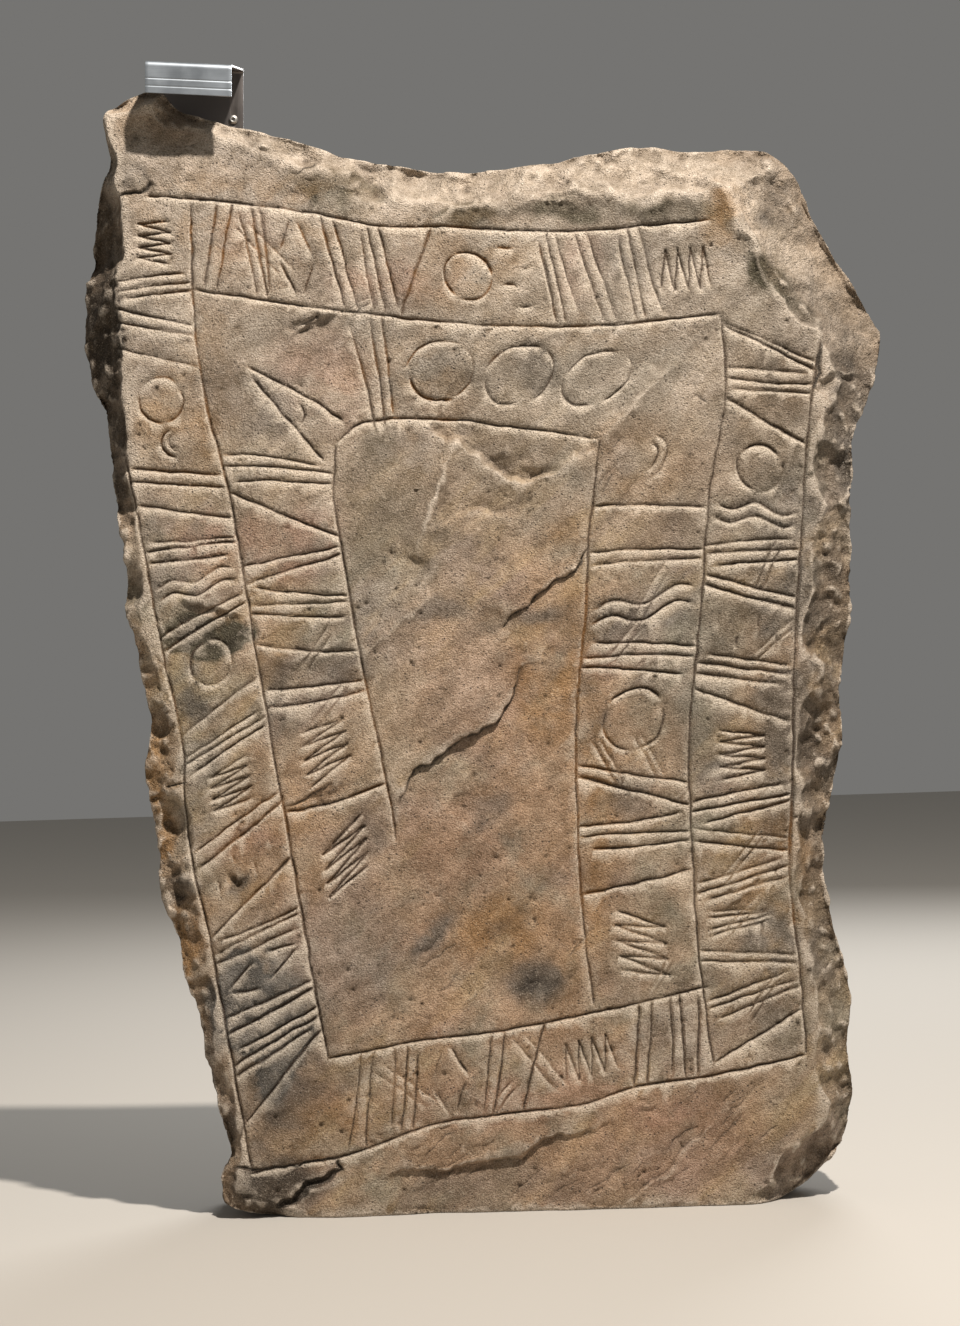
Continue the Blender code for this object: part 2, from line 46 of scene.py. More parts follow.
def hexColour(code):
    # sRGB hex value to the linear colour a shader wants
    parts = np.array([int(code[k:k + 2], 16) / 255 for k in (0, 2, 4)])
    linear = np.where(parts <= 0.04045, parts / 12.92, ((parts + 0.055) / 1.055) ** 2.4)
    return (*linear.tolist(), 1)


def addNode(tree, kind, sockets=None, out=0, **settings):
    # one node: settings are its properties; a socket is linked to an output or set to a value. It gives
    # back one of the node's outputs, the first unless another is asked for
    made = tree.nodes.new(kind)
    for name, value in settings.items():
        setattr(made, name, value)
    for name, value in (sockets or {}).items():
        if isinstance(value, bpy.types.NodeSocket):
            tree.links.new(value, made.inputs[name])
        else:
            made.inputs[name].default_value = value
    return made.outputs[out]


def newMaterial(name):
    made = bpy.data.materials.new(name)
    made.use_nodes = True
    tree = made.node_tree
    return made, tree, tree.nodes["Principled BSDF"]


def meshFromArrays(name, points, faces):
    # points in metres (n, 3), faces as rows of point numbers that run anticlockwise seen from outside
    mesh = bpy.data.meshes.new(name)
    mesh.vertices.add(len(points))
    mesh.vertices.foreach_set("co", np.asarray(points, np.float32).ravel())
    mesh.loops.add(faces.size)
    mesh.loops.foreach_set("vertex_index", faces.astype(np.int32).ravel())
    mesh.polygons.add(len(faces))
    mesh.polygons.foreach_set("loop_start", np.arange(0, faces.size, faces.shape[1], dtype=np.int32))
    mesh.update(calc_edges=True)
    mesh.validate()
    return mesh


def addObject(name, data, material=None):
    made = bpy.data.objects.new(name, data)
    bpy.context.scene.collection.objects.link(made)
    if material:
        data.materials.append(material)
    return made


def finished(made):
    # the object's mesh with its modifiers worked in, and the modifiers gone
    graph = bpy.context.evaluated_depsgraph_get()
    mesh = bpy.data.meshes.new_from_object(made.evaluated_get(graph), preserve_all_data_layers=True,
                                           depsgraph=graph)
    made.modifiers.clear()
    made.data = mesh
    return made


def vertexArray(mesh, layer="co"):
    values = np.empty(len(mesh.vertices) * 3, np.float32)
    if layer == "normal":
        mesh.vertex_normals.foreach_get("vector", values)
    else:
        mesh.vertices.foreach_get("co", values)
    return values.reshape(-1, 3).astype(float)


def setAttribute(mesh, name, values):
    layer = mesh.attributes.get(name) or mesh.attributes.new(name, "FLOAT", "POINT")
    layer.data.foreach_set("value", np.asarray(values, np.float32))


def ease(t):
    t = np.clip(t, 0, 1)
    return t * t * (3 - 2 * t)


def swell(x, z, pitch, seed):
    # smooth random field from -1 to 1: random values at the corners of a net, eased between them
    net = np.random.default_rng(seed).uniform(-1, 1, (64, 64))
    u = np.asarray(x) / pitch + 32
    v = np.asarray(z) / pitch + 8
    i = np.floor(u).astype(int)
    j = np.floor(v).astype(int)
    a = (u - i) ** 2 * (3 - 2 * (u - i))
    b = (v - j) ** 2 * (3 - 2 * (v - j))
    low = net[i % 64, j % 64] * (1 - a) + net[(i + 1) % 64, j % 64] * a
    high = net[i % 64, (j + 1) % 64] * (1 - a) + net[(i + 1) % 64, (j + 1) % 64] * a
    return low * (1 - b) + high * b


def astray(points, amounts, pitches, seed):
    # the points shifted by two smooth fields each way, a long one and a short one
    x, z = points[:, 0], points[:, 1]
    return points + np.column_stack([
        amounts[0] * swell(x, z, pitches[0], k) + amounts[1] * swell(x, z, pitches[1], k + 1)
        for k in (seed, seed + 2)])


def turned(points, seed):
    # the points turned at random, so that the nets of different layers never line up
    axes, _ = np.linalg.qr(np.random.default_rng(seed).normal(size=(3, 3)))
    return points @ axes


def grit(points, pitch, seed):
    # the same eased net in space, from -1 to 1
    net = np.random.default_rng(seed).uniform(-1, 1, (32, 32, 32)).astype(np.float32).ravel()
    place = turned(points, seed) / pitch + 160
    cell = np.floor(place).astype(np.int64)
    t = (place - cell).astype(np.float32)
    t = t * t * (3 - 2 * t)
    total = np.zeros(len(points), np.float32)
    for corner in range(8):
        step = np.array([corner & 1, corner >> 1 & 1, corner >> 2 & 1])
        weight = np.prod(np.where(step, t, 1 - t), axis=1)
        spot = (cell + step) % 32
        total += weight * net[(spot[:, 0] * 32 + spot[:, 1]) * 32 + spot[:, 2]]
    return total


def scars(points, pitch, seed):
    # broken stone: dishes that meet in sharp ridges. For each point the smallest of squared distance to a
    # random centre plus that centre's own offset, from 0 in a deep dish to about 1 on a ridge
    chance = np.random.default_rng(seed)
    jitter = chance.uniform(0.1, 0.9, (4096, 3)).astype(np.float32)
    offset = chance.uniform(0, 0.5, 4096).astype(np.float32)
    place = (turned(points, seed) / pitch + 200).astype(np.float32)
    cell = np.floor(place).astype(np.int32)
    inside = place - cell
    best = np.full(len(points), 9, np.float32)
    for step in np.ndindex(3, 3, 3):
        step = np.array(step, np.int32) - 1
        spot = (cell + step) % 16
        number = (spot[:, 0] * 16 + spot[:, 1]) * 16 + spot[:, 2]
        gap = ((jitter[number] + step - inside) ** 2).sum(axis=1)
        best = np.minimum(best, gap + offset[number])
    return np.clip(best, 0, 1.2)


def runAlong(path):
    # how far along the path each of its points lies; more columns than x and z don't count
    return np.r_[0, np.cumsum(np.linalg.norm(np.diff(path[:, :2], axis=0), axis=1))]


def curveThrough(knots, step):
    # cubic curve through the knots with chord-length tangents, read at equal steps along it
    knots = np.asarray(knots, float)
    time = runAlong(knots)
    slope = np.gradient(knots, time, axis=0)
    fine = np.linspace(0, time[-1], len(knots) * 24)
    k = np.clip(np.searchsorted(time, fine, side="right") - 1, 0, len(knots) - 2)
    span = (time[k + 1] - time[k])[:, None]
    t = (fine - time[k])[:, None] / span
    path = ((2 * t ** 3 - 3 * t ** 2 + 1) * knots[k] + (3 * t ** 2 - 2 * t ** 3) * knots[k + 1]
            + (t ** 3 - 2 * t ** 2 + t) * span * slope[k] + (t ** 3 - t ** 2) * span * slope[k + 1])
    return spaced(path, max(1, round(runAlong(path)[-1] / step)))


def spaced(path, count):
    # the path read at count + 1 points, equally far apart along it
    run = runAlong(path)
    at = np.linspace(0, run[-1], count + 1)
    return np.column_stack([np.interp(at, run, column) for column in path.T])


def atShare(path, share):
    # the place at a share of the path's length
    path = np.asarray(path, float)
    run = runAlong(path)
    return np.array([np.interp(share * run[-1], run, column) for column in path.T])


def distanceTo(points, path):
    # shortest distance to a path, its side (+1 is left of travel) and how far along the path, 0 to 1
    path = np.asarray(path, float)
    best = np.full(len(points), np.inf)
    side = np.zeros(len(points))
    along = np.zeros(len(points))
    for k, (start, end) in enumerate(zip(path[:-1], path[1:])):
        line = end - start
        offset = points - start
        t = np.clip(offset @ line / (line @ line), 0, 1)
        gap = np.linalg.norm(offset - t[:, None] * line, axis=1)
        closer = gap < best
        best[closer] = gap[closer]
        side[closer] = np.sign(offset[:, 1] * line[0] - offset[:, 0] * line[1])[closer]
        along[closer] = ((k + t) / (len(path) - 1))[closer]
    return best, side, along


class Nearby:
    # finds the points inside a box quickly, from their order in z
    def __init__(self, points):
        self.points = points
        self.order = np.argsort(points[:, 1], kind="stable")
        self.heights = points[self.order, 1]

    def box(self, low, high):
        first, last = np.searchsorted(self.heights, (low[1], high[1]))
        chosen = self.order[first:last]
        x = self.points[chosen, 0]
        return chosen[(x > low[0]) & (x < high[0])]

    def around(self, path, reach):
        path = np.asarray(path, float)
        return self.box(path.min(axis=0) - reach, path.max(axis=0) + reach)


stele = {
    # depths of the face's foot and of the back, how far the face leans back for each millimetre up
    "faceFoot": -75, "faceLean": 0.016, "back": 70, "backChamfer": 20,
    "footHalf": 252, "footMargin": (5, 2),            # half length of the foot, its margin's width and fall
    "step": 1.3, "netSize": (760, 1150),              # spacing of the net on the face, and its size
    "edgeStep": 2, "rimStep": 4,                      # spacing along the outline and along the margin's rim
    "rimRows": 18, "sideRows": 30, "rimShare": 0.2,   # the flank's fine rows near the rim, then coarse ones
    # the flank draws in on its way back, and more over the last share of it
    "flankShare": 0.84, "chamferShare": 0.16, "flankInset": 4.5, "backInset": 15,
    "seat": (-317, 1158), "seatReach": 115,           # the hook's plate stands flat behind this place
    "triangles": 197000,                              # what the finished mesh is thinned to
    # half width and depth of ruled lines, strokes, light strokes and the cracked corner; what share of its
    # row stays free on both sides of a stroke
    "ruleHalf": 2.4, "ruleDepth": 3.0, "signHalf": 2.3, "signDepth": 2.8, "signGap": 0.07,
    "lightHalf": 1.9, "lightDepth": 1.7, "crackHalf": 5.0, "crackDepth": 9.0,
    # edge from the foot's left corner round the top: x, z, width of the broken margin, how far it falls
    "edge": [
        (-252, 0, 12, 8), (-283, 3, 16, 16), (-316, 17, 16, 18), (-321, 46, 16, 14), (-313, 66, 14, 13),
        (-321, 117, 16, 13), (-336, 184, 18, 13), (-341, 224, 20, 14), (-350, 248, 24, 15),
        (-361, 300, 28, 16), (-377, 352, 34, 17), (-383, 420, 34, 17), (-391, 486, 34, 17),
        (-384, 533, 26, 15), (-395, 595, 20, 13), (-398, 628, 18, 12), (-406, 652, 16, 12),
        (-405, 697, 16, 13), (-412, 747, 18, 18), (-419, 800, 22, 34), (-430, 880, 30, 60),
        (-441, 909, 36, 62), (-444, 997, 40, 64), (-436, 1051, 34, 62), (-429, 1095, 24, 50),
        (-420, 1121, 12, 30), (-410, 1141, 10, 24), (-412, 1165, 10, 20), (-413, 1190, 10, 18),
        (-394, 1206, 10, 18), (-356, 1218, 16, 28), (-342, 1201, 20, 30), (-311, 1185, 16, 24),
        (-268, 1173, 14, 20), (-221, 1160, 22, 26), (-157, 1140, 34, 34), (-93, 1127, 44, 40),
        (-44, 1121, 44, 42), (21, 1123, 40, 42), (86, 1130, 42, 42), (140, 1139, 56, 46),
        (174, 1142, 52, 48), (219, 1136, 48, 48), (268, 1140, 70, 60), (304, 1136, 80, 66),
        (337, 1103, 84, 72), (349, 1064, 80, 74), (366, 1022, 76, 74), (411, 956, 74, 74),
        (422, 924, 66, 70), (417, 895, 60, 62), (401, 857, 50, 48), (384, 820, 42, 40),
        (381, 774, 40, 36), (377, 720, 44, 36), (376, 660, 48, 36), (374, 621, 50, 38),
        (360, 546, 42, 36), (360, 494, 42, 36), (345, 427, 38, 34), (335, 346, 34, 32),
        (344, 292, 34, 32), (360, 215, 40, 34), (354, 162, 40, 34), (359, 109, 34, 36),
        (353, 71, 30, 40), (315, 26, 40, 46), (290, 7, 30, 36), (252, 0, 12, 8),
    ],
    "corners": [(-316, 17), (-394, 1206), (349, 1064), (353, 71)],   # where the four sides of the net meet
    "rules": {                                        # ruled lines, as places that each runs through
        "outerLeft": [(-401, 1105), (-412, 930), (-411, 885), (-390, 757), (-366, 600), (-348, 500),
                      (-349, 456), (-322, 275), (-290, 56)],
        "outerTop": [(-372, 1101), (-284, 1091), (-192, 1076), (-120, 1059), (-64, 1057), (60, 1048),
                     (235, 1055)],
        "outerRight": [(350, 926), (332, 828), (321, 716), (307, 564), (301, 430), (296, 366), (304, 247),
                       (308, 158)],
        "outerFoot": [(-290, 50), (-174, 69), (-107, 92), (-2, 106), (72, 113), (114, 126), (216, 140),
                      (308, 158)],
        "innerLeft": [(-323, 1091), (-322, 953), (-309, 856), (-299, 815), (-267, 603), (-243, 436),
                      (-204, 169)],
        "innerTop": [(-321, 998), (-231, 981), (-150, 968), (-44, 953), (118, 946), (242, 954)],
        "innerRight": [(242, 954), (246, 890), (223, 754), (208, 616), (195, 519), (193, 396), (196, 274),
                       (208, 150)],
        "innerFoot": [(-204, 170), (-110, 185), (-22, 193), (79, 209), (205, 233)],
        "panelLeft": [(-175, 828), (-179, 770), (-169, 690), (-151, 572), (-132, 463), (-123, 398)],
        "panelTop": [(-175, 828), (-165, 838), (-67, 851), (20, 839), (108, 824)],
        "panelRight": [(108, 824), (93, 715), (86, 627), (73, 523), (71, 430), (75, 298), (82, 216)],
    },
    # rows of plain strokes between two ruled lines, each with the share of it that is used
    "rows": [
        ("outerLeft", (0.02, 0.96), "innerLeft", (0.02, 1.0), "ztpsoapstwpostzpdstlpts"),
        ("outerTop", (0.09, 1.0), "innerTop", (0.01, 1.0), "ptlptsodtptz"),
        ("outerRight", (0.0, 0.98), "innerRight", (0.0, 1.0), "ptsowtpdtsztptfpts"),
        ("innerLeft", (0.27, 0.86), "panelLeft", (0.05, 1.0), "tsptspzsz"),
        ("innerTop", (0.29, 0.90), "panelTop", (0.08, 1.0), "tooo"),
        ("innerRight", (0.12, 0.91), "panelRight", (0.03, 0.93), "aspwtoptsz"),
        ("innerFoot", (0.02, 0.97), "outerFoot", (0.17, 0.84), "ptlpszpt"),
    ],
    # single strokes outside the rows
    "lone": [
        [(-268, 913), (-215, 885), (-165, 851)], [(-262, 901), (-222, 850), (-187, 809)],
        [(-213, 873), (-207, 860), (-213, 846)],
    ],
    # soft hollows: x, z, half sizes, turn in degrees, depth (a swelling is negative)
    "hollows": [
        (-352, 1172, 88, 44, -8, 10), (8, 738, 88, 82, 20, 7), (20, 560, 60, 46, -40, 4),
        (-60, 640, 90, 60, 10, -4), (-348, 361, 20, 18, 0, -9), (-298, 362, 16, 7, -50, 6),
        (-245, 1120, 120, 40, -12, 3), (-60, 300, 120, 160, 0, 3), (-300, 625, 44, 28, 5, 4),
        (200, 900, 70, 50, 40, 5), (-180, 900, 90, 60, -30, 3),
    ],
    # the split across the panel: its path, drop, how fast that dies away, half width of the step
    "split": [(15, 587), (13, 565), (5, 546), (-2, 529), (-13, 521), (-33, 513), (-57, 503), (-74, 491),
              (-85, 481), (-105, 475), (-114, 454), (-121, 437)],
    "splitDrop": 7, "splitReach": 55, "splitHalf": 1.3,
    # the crack that cuts off the lower left corner
    "crack": [(-197, 50), (-226, 34), (-246, 20), (-268, 8)],
}

# splits of the face that step down and also gape, so that both tables below use them
partings = {
    "upper": [(95, 712), (86, 694), (73, 679), (56, 673), (38, 661), (25, 648), (7, 636), (-2, 624)],
    "topCorner": [(-365, 1115), (-375, 1107), (-387, 1104), (-403, 1104)],
    "leftRows": [(-192, 463), (-202, 456), (-217, 446), (-240, 441)],
    "foot": [(104, 2), (138, 26), (163, 47), (180, 68), (202, 88), (224, 112)],
}

# finer relief that only the dressed stone has
relief = {
    # steps: path, drop on the left of travel, how fast it dies away, half width of the step
    "steps": [
        ([(-279, 647), (-299, 652), (-318, 657), (-338, 661), (-349, 666)], 5.5, 34, 1.2),
        ([(96, 92), (40, 80), (8, 64), (-24, 57), (-53, 53), (-89, 44), (-114, 50), (-150, 44)],
         8, 30, 1.8),
        (partings["foot"], 3, 26, 1.4), (partings["upper"], 4.6, 26, 1.2),
        (partings["leftRows"], 3.2, 16, 1.2), (partings["topCorner"], 2.6, 13, 1.2),
        ([(94, 627), (84, 629), (48, 633), (-1, 636), (-26, 650), (-56, 660), (-80, 658), (-123, 651),
          (-166, 650)], 4.0, 28, 9.0),
        ([(-72, 840), (-63, 835), (-44, 826), (-11, 802), (12, 784), (38, 781), (64, 795), (103, 817)],
          13.0, 34, 3.6),
        ([(-60, 738), (-34, 753), (-2, 744), (24, 751), (52, 778)], 7.0, 24, 4.0),
        ([(-24, 428), (10, 465), (38, 485), (80, 520)], 2.6, 24, 5.0),
        ([(-256, 435), (-280, 414), (-293, 419)], 2.4, 14, 1.2),
        ([(407, 891), (382, 885), (361, 886), (342, 873)], 9, 26, 3.0),
        ([(17, 560), (14, 583), (17, 604), (10, 622)], 1.6, 22, 2.0),
        ([(-161, 974), (-186, 960), (-209, 962), (-225, 950)], 3.4, 16, 1.6),
        ([(-226, 1012), (-222, 1030), (-236, 1046)], 1.4, 18, 2.0),
    ],
    # ridges: path, height, half width
    "ridges": [
        ([(105, 822), (135, 847), (157, 868), (182, 892), (220, 914)], 9.5, 14),
        ([(-42, 834), (-45, 826), (-58, 797), (-72, 763), (-83, 733), (-94, 700)], 12.0, 13),
        ([(-160, 596), (-130, 618), (-100, 642), (-78, 662)], 5.0, 9),
        ([(-262, 606), (-230, 596), (-200, 604), (-170, 622)], 4.5, 11),
        ([(-30, 300), (20, 350), (60, 400)], 3.0, 20),
        ([(-170, 230), (-140, 240), (-100, 236)], 3.5, 12),
        ([(236, 1112), (253, 1078), (267, 1043), (289, 1018), (312, 984), (332, 960), (353, 936),
          (366, 905)], 9.0, 13),
        ([(-62, 1056), (-43, 1079), (-13, 1082), (20, 1066)], 5.5, 12),
        ([(14, 1066), (52, 1089), (84, 1092), (127, 1086), (160, 1061)], 6.5, 14),
        ([(156, 1061), (185, 1080), (212, 1081), (236, 1057)], 5.5, 12),
        ([(-60, 1060), (-34, 1078), (-10, 1076)], 1.5, 7),
        ([(40, 470), (90, 520), (130, 575)], 1.6, 16),
    ],
    # cracks: path, half width, depth
    "cracks": [
        ([(-217, 1121), (-199, 1129), (-182, 1135)], 1.6, 2.2),
        (stele["split"], 1.8, 3.0), (partings["upper"], 1.6, 3.0), (partings["topCorner"], 2.2, 3.4),
        (partings["leftRows"], 1.8, 2.0), (partings["foot"][:-1], 1.5, 1.6),
        ([(-336, 1114), (-322, 1118), (-315, 1119)], 1.4, 1.6),
        ([(-314, 52), (-273, 53), (-233, 58), (-199, 64)], 2.2, 3.0),
        ([(-199, 64), (-194, 50), (-205, 41)], 3.0, 5.0),
        ([(-369, 464), (-350, 470)], 1.8, 3.0),
        ([(348, 923), (344, 887), (339, 873)], 3.2, 3.6),
        ([(205, 872), (218, 862), (226, 860)], 2.0, 1.8),
        ([(-286, 815), (-285, 775)], 1.1, 1.2), ([(-272, 812), (-272, 780)], 1.1, 1.2),
        ([(-261, 814), (-261, 783)], 1.1, 1.2),
    ],
    # small bowls: x, z, half sizes, turn, depth
    "chips": [
        (-195, 953, 34, 13, 18, 4.0), (-293, 359, 15, 6, 35, 3.0), (-385, 495, 13, 24, 0, -4.0),
        (-381, 452, 10, 5, 0, 5.0), (-381, 1118, 13, 11, 20, -2.5), (-286, 912, 14, 9, 40, 2.5),
        (-287, 802, 12, 8, 0, 1.8), (-129, 1112, 10, 6, -30, 2.6), (-122, 1098, 7, 9, 0, 2.2),
        (-34, 660, 18, 10, 30, 1.8), (140, 103, 22, 8, -8, 1.8), (346, 100, 12, 34, -10, 4.0),
        (-20, 782, 14, 8, 20, 2.0), (62, 730, 16, 10, -20, 2.0), (-233, 470, 16, 12, 10, 2.4),
        (30, 880, 9, 6, 0, 1.5), (-160, 78, 9, 6, 0, 2.2), (96, 168, 16, 7, 10, 2.4),
        (-232, 30, 30, 12, 10, -2.0), (262, 345, 5, 5, 0, 3.0), (300, 192, 3, 6, 0, 3.5),
    ],
    # single pits: x, z, radius, depth
    "pits": [
        (-16, 677, 4, 2.4), (-120, 708, 3, 2.2), (-128, 698, 3.4, 2.4), (-94, 672, 3.2, 2.2),
        (-4, 718, 3.4, 2.0), (-18, 378, 4.5, 2.4), (-35, 359, 4, 2), (37, 478, 3.4, 2), (42, 498, 3, 2),
        (18, 334, 3.4, 2), (-5, 333, 3.4, 2), (-102, 224, 3.2, 2.2), (35, 378, 3, 1.8),
        (-198, 1133, 5, 3), (-255, 1151, 4, 2.2), (-238, 1128, 3, 2), (-186, 1112, 3, 1.6),
    ],
    # families of small dents: x, z, half spread, how many
    "dents": [
        (10, 740, 80, 90, 70), (30, 620, 50, 60, 30), (-110, 600, 60, 60, 26), (-60, 450, 80, 60, 30),
        (-40, 280, 110, 110, 40), (-200, 950, 70, 40, 30), (60, 40, 230, 40, 50), (200, 900, 70, 90, 40),
        (-300, 1140, 80, 40, 30), (60, 1090, 260, 26, 90), (330, 500, 30, 330, 120),
        (-366, 560, 14, 330, 150), (0, 900, 240, 60, 30), (280, 500, 30, 330, 50), (140, 480, 50, 300, 40),
        (-300, 600, 50, 400, 60), (300, 1050, 60, 80, 50), (-100, 140, 260, 40, 30),
    ],
    # smoother parts of the margin: x, z, half sizes, turn, strength
    "quiet": [(330, 1010, 90, 170, 25, 1.0), (400, 930, 50, 70, 0, 0.8), (210, 1085, 50, 24, 0, 0.8)],
    # families of split flakes: x, z, half spread, angle in degrees, how many, length
    "flakes": [
        (60, 60, 200, 50, 28, 16, 46), (-140, 60, 60, 40, 20, 6, 34), (30, 640, 60, 70, 40, 9, 34),
        (-190, 950, 36, 16, 18, 5, 26), (-330, 1130, 60, 40, 10, 7, 26), (215, 1000, 40, 50, -60, 6, 30),
        (-230, 440, 60, 30, 20, 6, 26), (120, 860, 80, 40, 42, 6, 34), (-60, 250, 90, 60, 38, 8, 34),
        (330, 600, 20, 260, 80, 14, 30), (-100, 1110, 160, 16, -8, 10, 26), (250, 300, 60, 120, 30, 7, 24),
        (-60, 480, 60, 60, 45, 6, 30), (-10, 770, 60, 50, 30, 8, 24),
    ],
    # places where the skin has come away and raw stone shows: x, z, half sizes, turn, strength
    "raw": [
        (-62, 760, 22, 70, -16, 0.9), (-30, 645, 80, 22, 6, 0.6), (-130, 625, 40, 18, 40, 0.6),
        (75, 690, 24, 40, -30, 0.6), (-60, 470, 90, 16, 28, 0.5), (215, 940, 40, 20, 30, 0.6),
        (-192, 950, 40, 16, 16, 0.8), (-336, 1140, 50, 22, 0, 0.35), (228, 1012, 30, 40, 20, 0.5),
        (60, 1085, 190, 16, 0, 0.5), (-232, 455, 30, 14, 20, 0.6), (-20, 775, 40, 30, 0, 0.35),
        (30, 640, 34, 34, 0, 0.4), (60, 40, 190, 36, 6, 0.4), (-262, 30, 50, 26, 0, 0.7),
        (222, 862, 20, 26, 0, 0.45), (-262, 1010, 20, 20, 0, 0.3), (-345, 640, 12, 20, 0, 0.5),
        (290, 860, 30, 26, 0, 0.35), (200, 640, 24, 18, 0, 0.3), (-110, 400, 26, 20, 0, 0.4),
    ],
    # pairs of light strokes: x, z, angle in degrees, length, distance apart
    "pairs": [
        (-201, 609, 58, 56, 8), (-190, 547, 52, 60, 8), (155, 649, 60, 80, 9), (131, 607, 48, 50, 9),
        (285, 682, 64, 58, 8), (288, 602, 40, 56, 7), (248, 373, 50, 66, 7), (246, 309, 46, 60, 8),
        (156, 247, 62, 44, 7), (265, 222, 55, 62, 7), (-123, 138, -36, 70, 12), (22, 160, -52, 70, 13),
        (-16, 124, 50, 34, 8), (-246, 1040, -48, 70, 14), (105, 478, -62, 50, 8), (150, 482, -64, 50, 8),
    ],
    # families of faint scores: x, z, half spread, angle in degrees, how many, length
    "scores": [
        (60, 45, 150, 38, 33, 16, 60), (-110, 60, 90, 30, 24, 9, 50), (215, 70, 90, 50, 47, 11, 62),
        (150, 790, 40, 50, 50, 7, 40), (-190, 960, 50, 20, 20, 6, 30), (-20, 260, 90, 40, 38, 6, 46),
        (-300, 140, 24, 60, 70, 5, 40),
    ],
}


def edgePoints(step):
    # the outline with its margin's width and fall, slightly rough, and straight along the foot
    edge = curveThrough(stele["edge"], step)
    edge[1:-1, 0] += 1.6 * swell(edge[1:-1, 1], edge[1:-1, 0], 23, 5)
    edge[1:-1, 1] += 1.6 * swell(edge[1:-1, 0], edge[1:-1, 1], 23, 6)
    edge[:, 1] = np.maximum(edge[:, 1], 0)
    half = stele["footHalf"]
    count = round(2 * half / step)
    foot = [(half - 2 * half * k / count, 0, *stele["footMargin"]) for k in range(1, count)]
    return np.vstack([edge, foot])


def motif(kind):
    # strokes of one cell as (along, across), each from 0 to 1; plain marks that spell nothing
    def arc(start, end, across=0.5, size=0.46, steps=12):
        turns = np.radians(np.linspace(start, end, steps + 1))
        return [(0.5 + size * math.cos(turn), across + size * math.sin(turn)) for turn in turns]
    ends = [(u, v) for u in (-1, 1) for v in (-1, 1)]
    shapes = {
        "s": [[(0, 0), (1, 1)]],
        "p": [[(0, 0), (0.64, 1)], [(0.36, 0), (1, 1)]],
        "t": [[(0, 0.1), (0.4, 1)], [(0.3, 0), (0.7, 1)], [(0.6, 0), (1, 0.9)]],
        "f": [[(0.5 + k * 0.1, 0.2), (0.5 + k * 0.3, 0.95)] for k in (-1.5, -0.5, 0.5, 1.5)],
        "d": [[(0.52 * (k % 2), 0.14 + 0.24 * k), (0.4 + 0.6 * (k % 2), 0.14 + 0.24 * k)]
              for k in range(4)],
        "o": [arc(6 + 120 * k, 114 + 120 * k) for k in range(3)],
        "a": [arc(20, 160, 0.25, size) for size in (0.5, 0.28)],
        "w": [[(side + 0.14 * math.sin(3 * math.pi * k / 16), k / 16) for k in range(17)]
              for side in (0.3, 0.7)],
        "z": [[(k / 8, 0.25 + 0.5 * (k % 2)) for k in range(9)]],
        "l": [[(0.5 + 0.45 * u, 0.5 + 0.07 * v), (0.5 + 0.07 * u, 0.5 + 0.45 * v)] for u, v in ends],
    }
    return shapes[kind]


def rowStrokes(first, firstShare, second, secondShare, kinds, seed):
    # lays one motif after another along a row, turned about at random
    chance = np.random.default_rng(seed)
    weights = np.array([1.45 if kind in "oz" else 1 for kind in kinds])
    starts = np.r_[0, np.cumsum(weights)] / weights.sum()

    def endsAt(share):
        return [atShare(stele["rules"][name], start + (end - start) * share)
                for name, (start, end) in ((first, firstShare), (second, secondShare))]

    strokes = []
    hand = np.random.default_rng(300 + seed)
    for kind, start, end in zip(kinds, starts[:-1], starts[1:]):
        flips = chance.integers(0, 2, 2)
        (low, farLow), (high, farHigh) = endsAt(start), endsAt(end)
        length = np.linalg.norm((high + farHigh - low - farLow) / 2)
        width = np.linalg.norm((farHigh + farLow - low - high) / 2)
        # how much of its cell a motif fills, along and across; rings and arcs stay round
        size = np.array([0.84, 0.99 if kind in "spt" else 1 - 2 * stele["signGap"]])
        if kind in "oa":
            size = min(length, width) * 0.9 / np.array([length, width])
        for stroke in motif(kind):
            flipped = np.where(flips, 1 - np.array(stroke), stroke)
            if len(stroke) == 2:
                flipped = flipped[0] + (flipped[1] - flipped[0]) * np.linspace(0, 1, 6)[:, None]
            # the hand slips: both ends stray a little and the line bows
            t = np.linspace(0, 1, len(flipped))[:, None]
            stray = hand.normal(0, (0.055, 0.012), (3, 2)) * (0.4 if kind in "oawz" else 1)
            flipped = flipped + stray[0] * (1 - t) + stray[1] * t + stray[2] * 2 * t * (1 - t)
            path = []
            for along, across in 0.5 + (flipped - 0.5) * size:
                one, two = endsAt(start + along * (end - start))
                path.append(one + (two - one) * across)
            strokes.append(np.array(path))
    return strokes


def allGrooves():
    # every cut line as path, half width, depth
    grooves = [(curveThrough(line, 12), stele["ruleHalf"], stele["ruleDepth"])
               for line in stele["rules"].values()]
    for seed, row in enumerate(stele["rows"]):
        hand = np.random.default_rng(400 + seed)
        grooves += [(path, stele["signHalf"] * hand.uniform(0.85, 1.2),
                     stele["signDepth"] * hand.uniform(0.75, 1.2)) for path in rowStrokes(*row, seed)]
    for x, z, angle, length, apart in relief["pairs"]:
        # a pair of light parallel strokes laid over a finished row, a little out of step and bowed
        c, s = math.cos(math.radians(angle)), math.sin(math.radians(angle))
        ahead, aside = np.array([c, s]), np.array([-s, c])
        for side in (-0.5, 0.5):
            middle = np.array([x, z]) + aside * apart * side + ahead * length * 0.08 * side
            ends = [middle - ahead * length / 2, middle + aside * 0.8, middle + ahead * length / 2]
            grooves.append((np.array(ends), stele["lightHalf"], stele["lightDepth"]))
    grooves += [(curveThrough(path, 8), stele["signHalf"], stele["signDepth"]) for path in stele["lone"]]
    return grooves


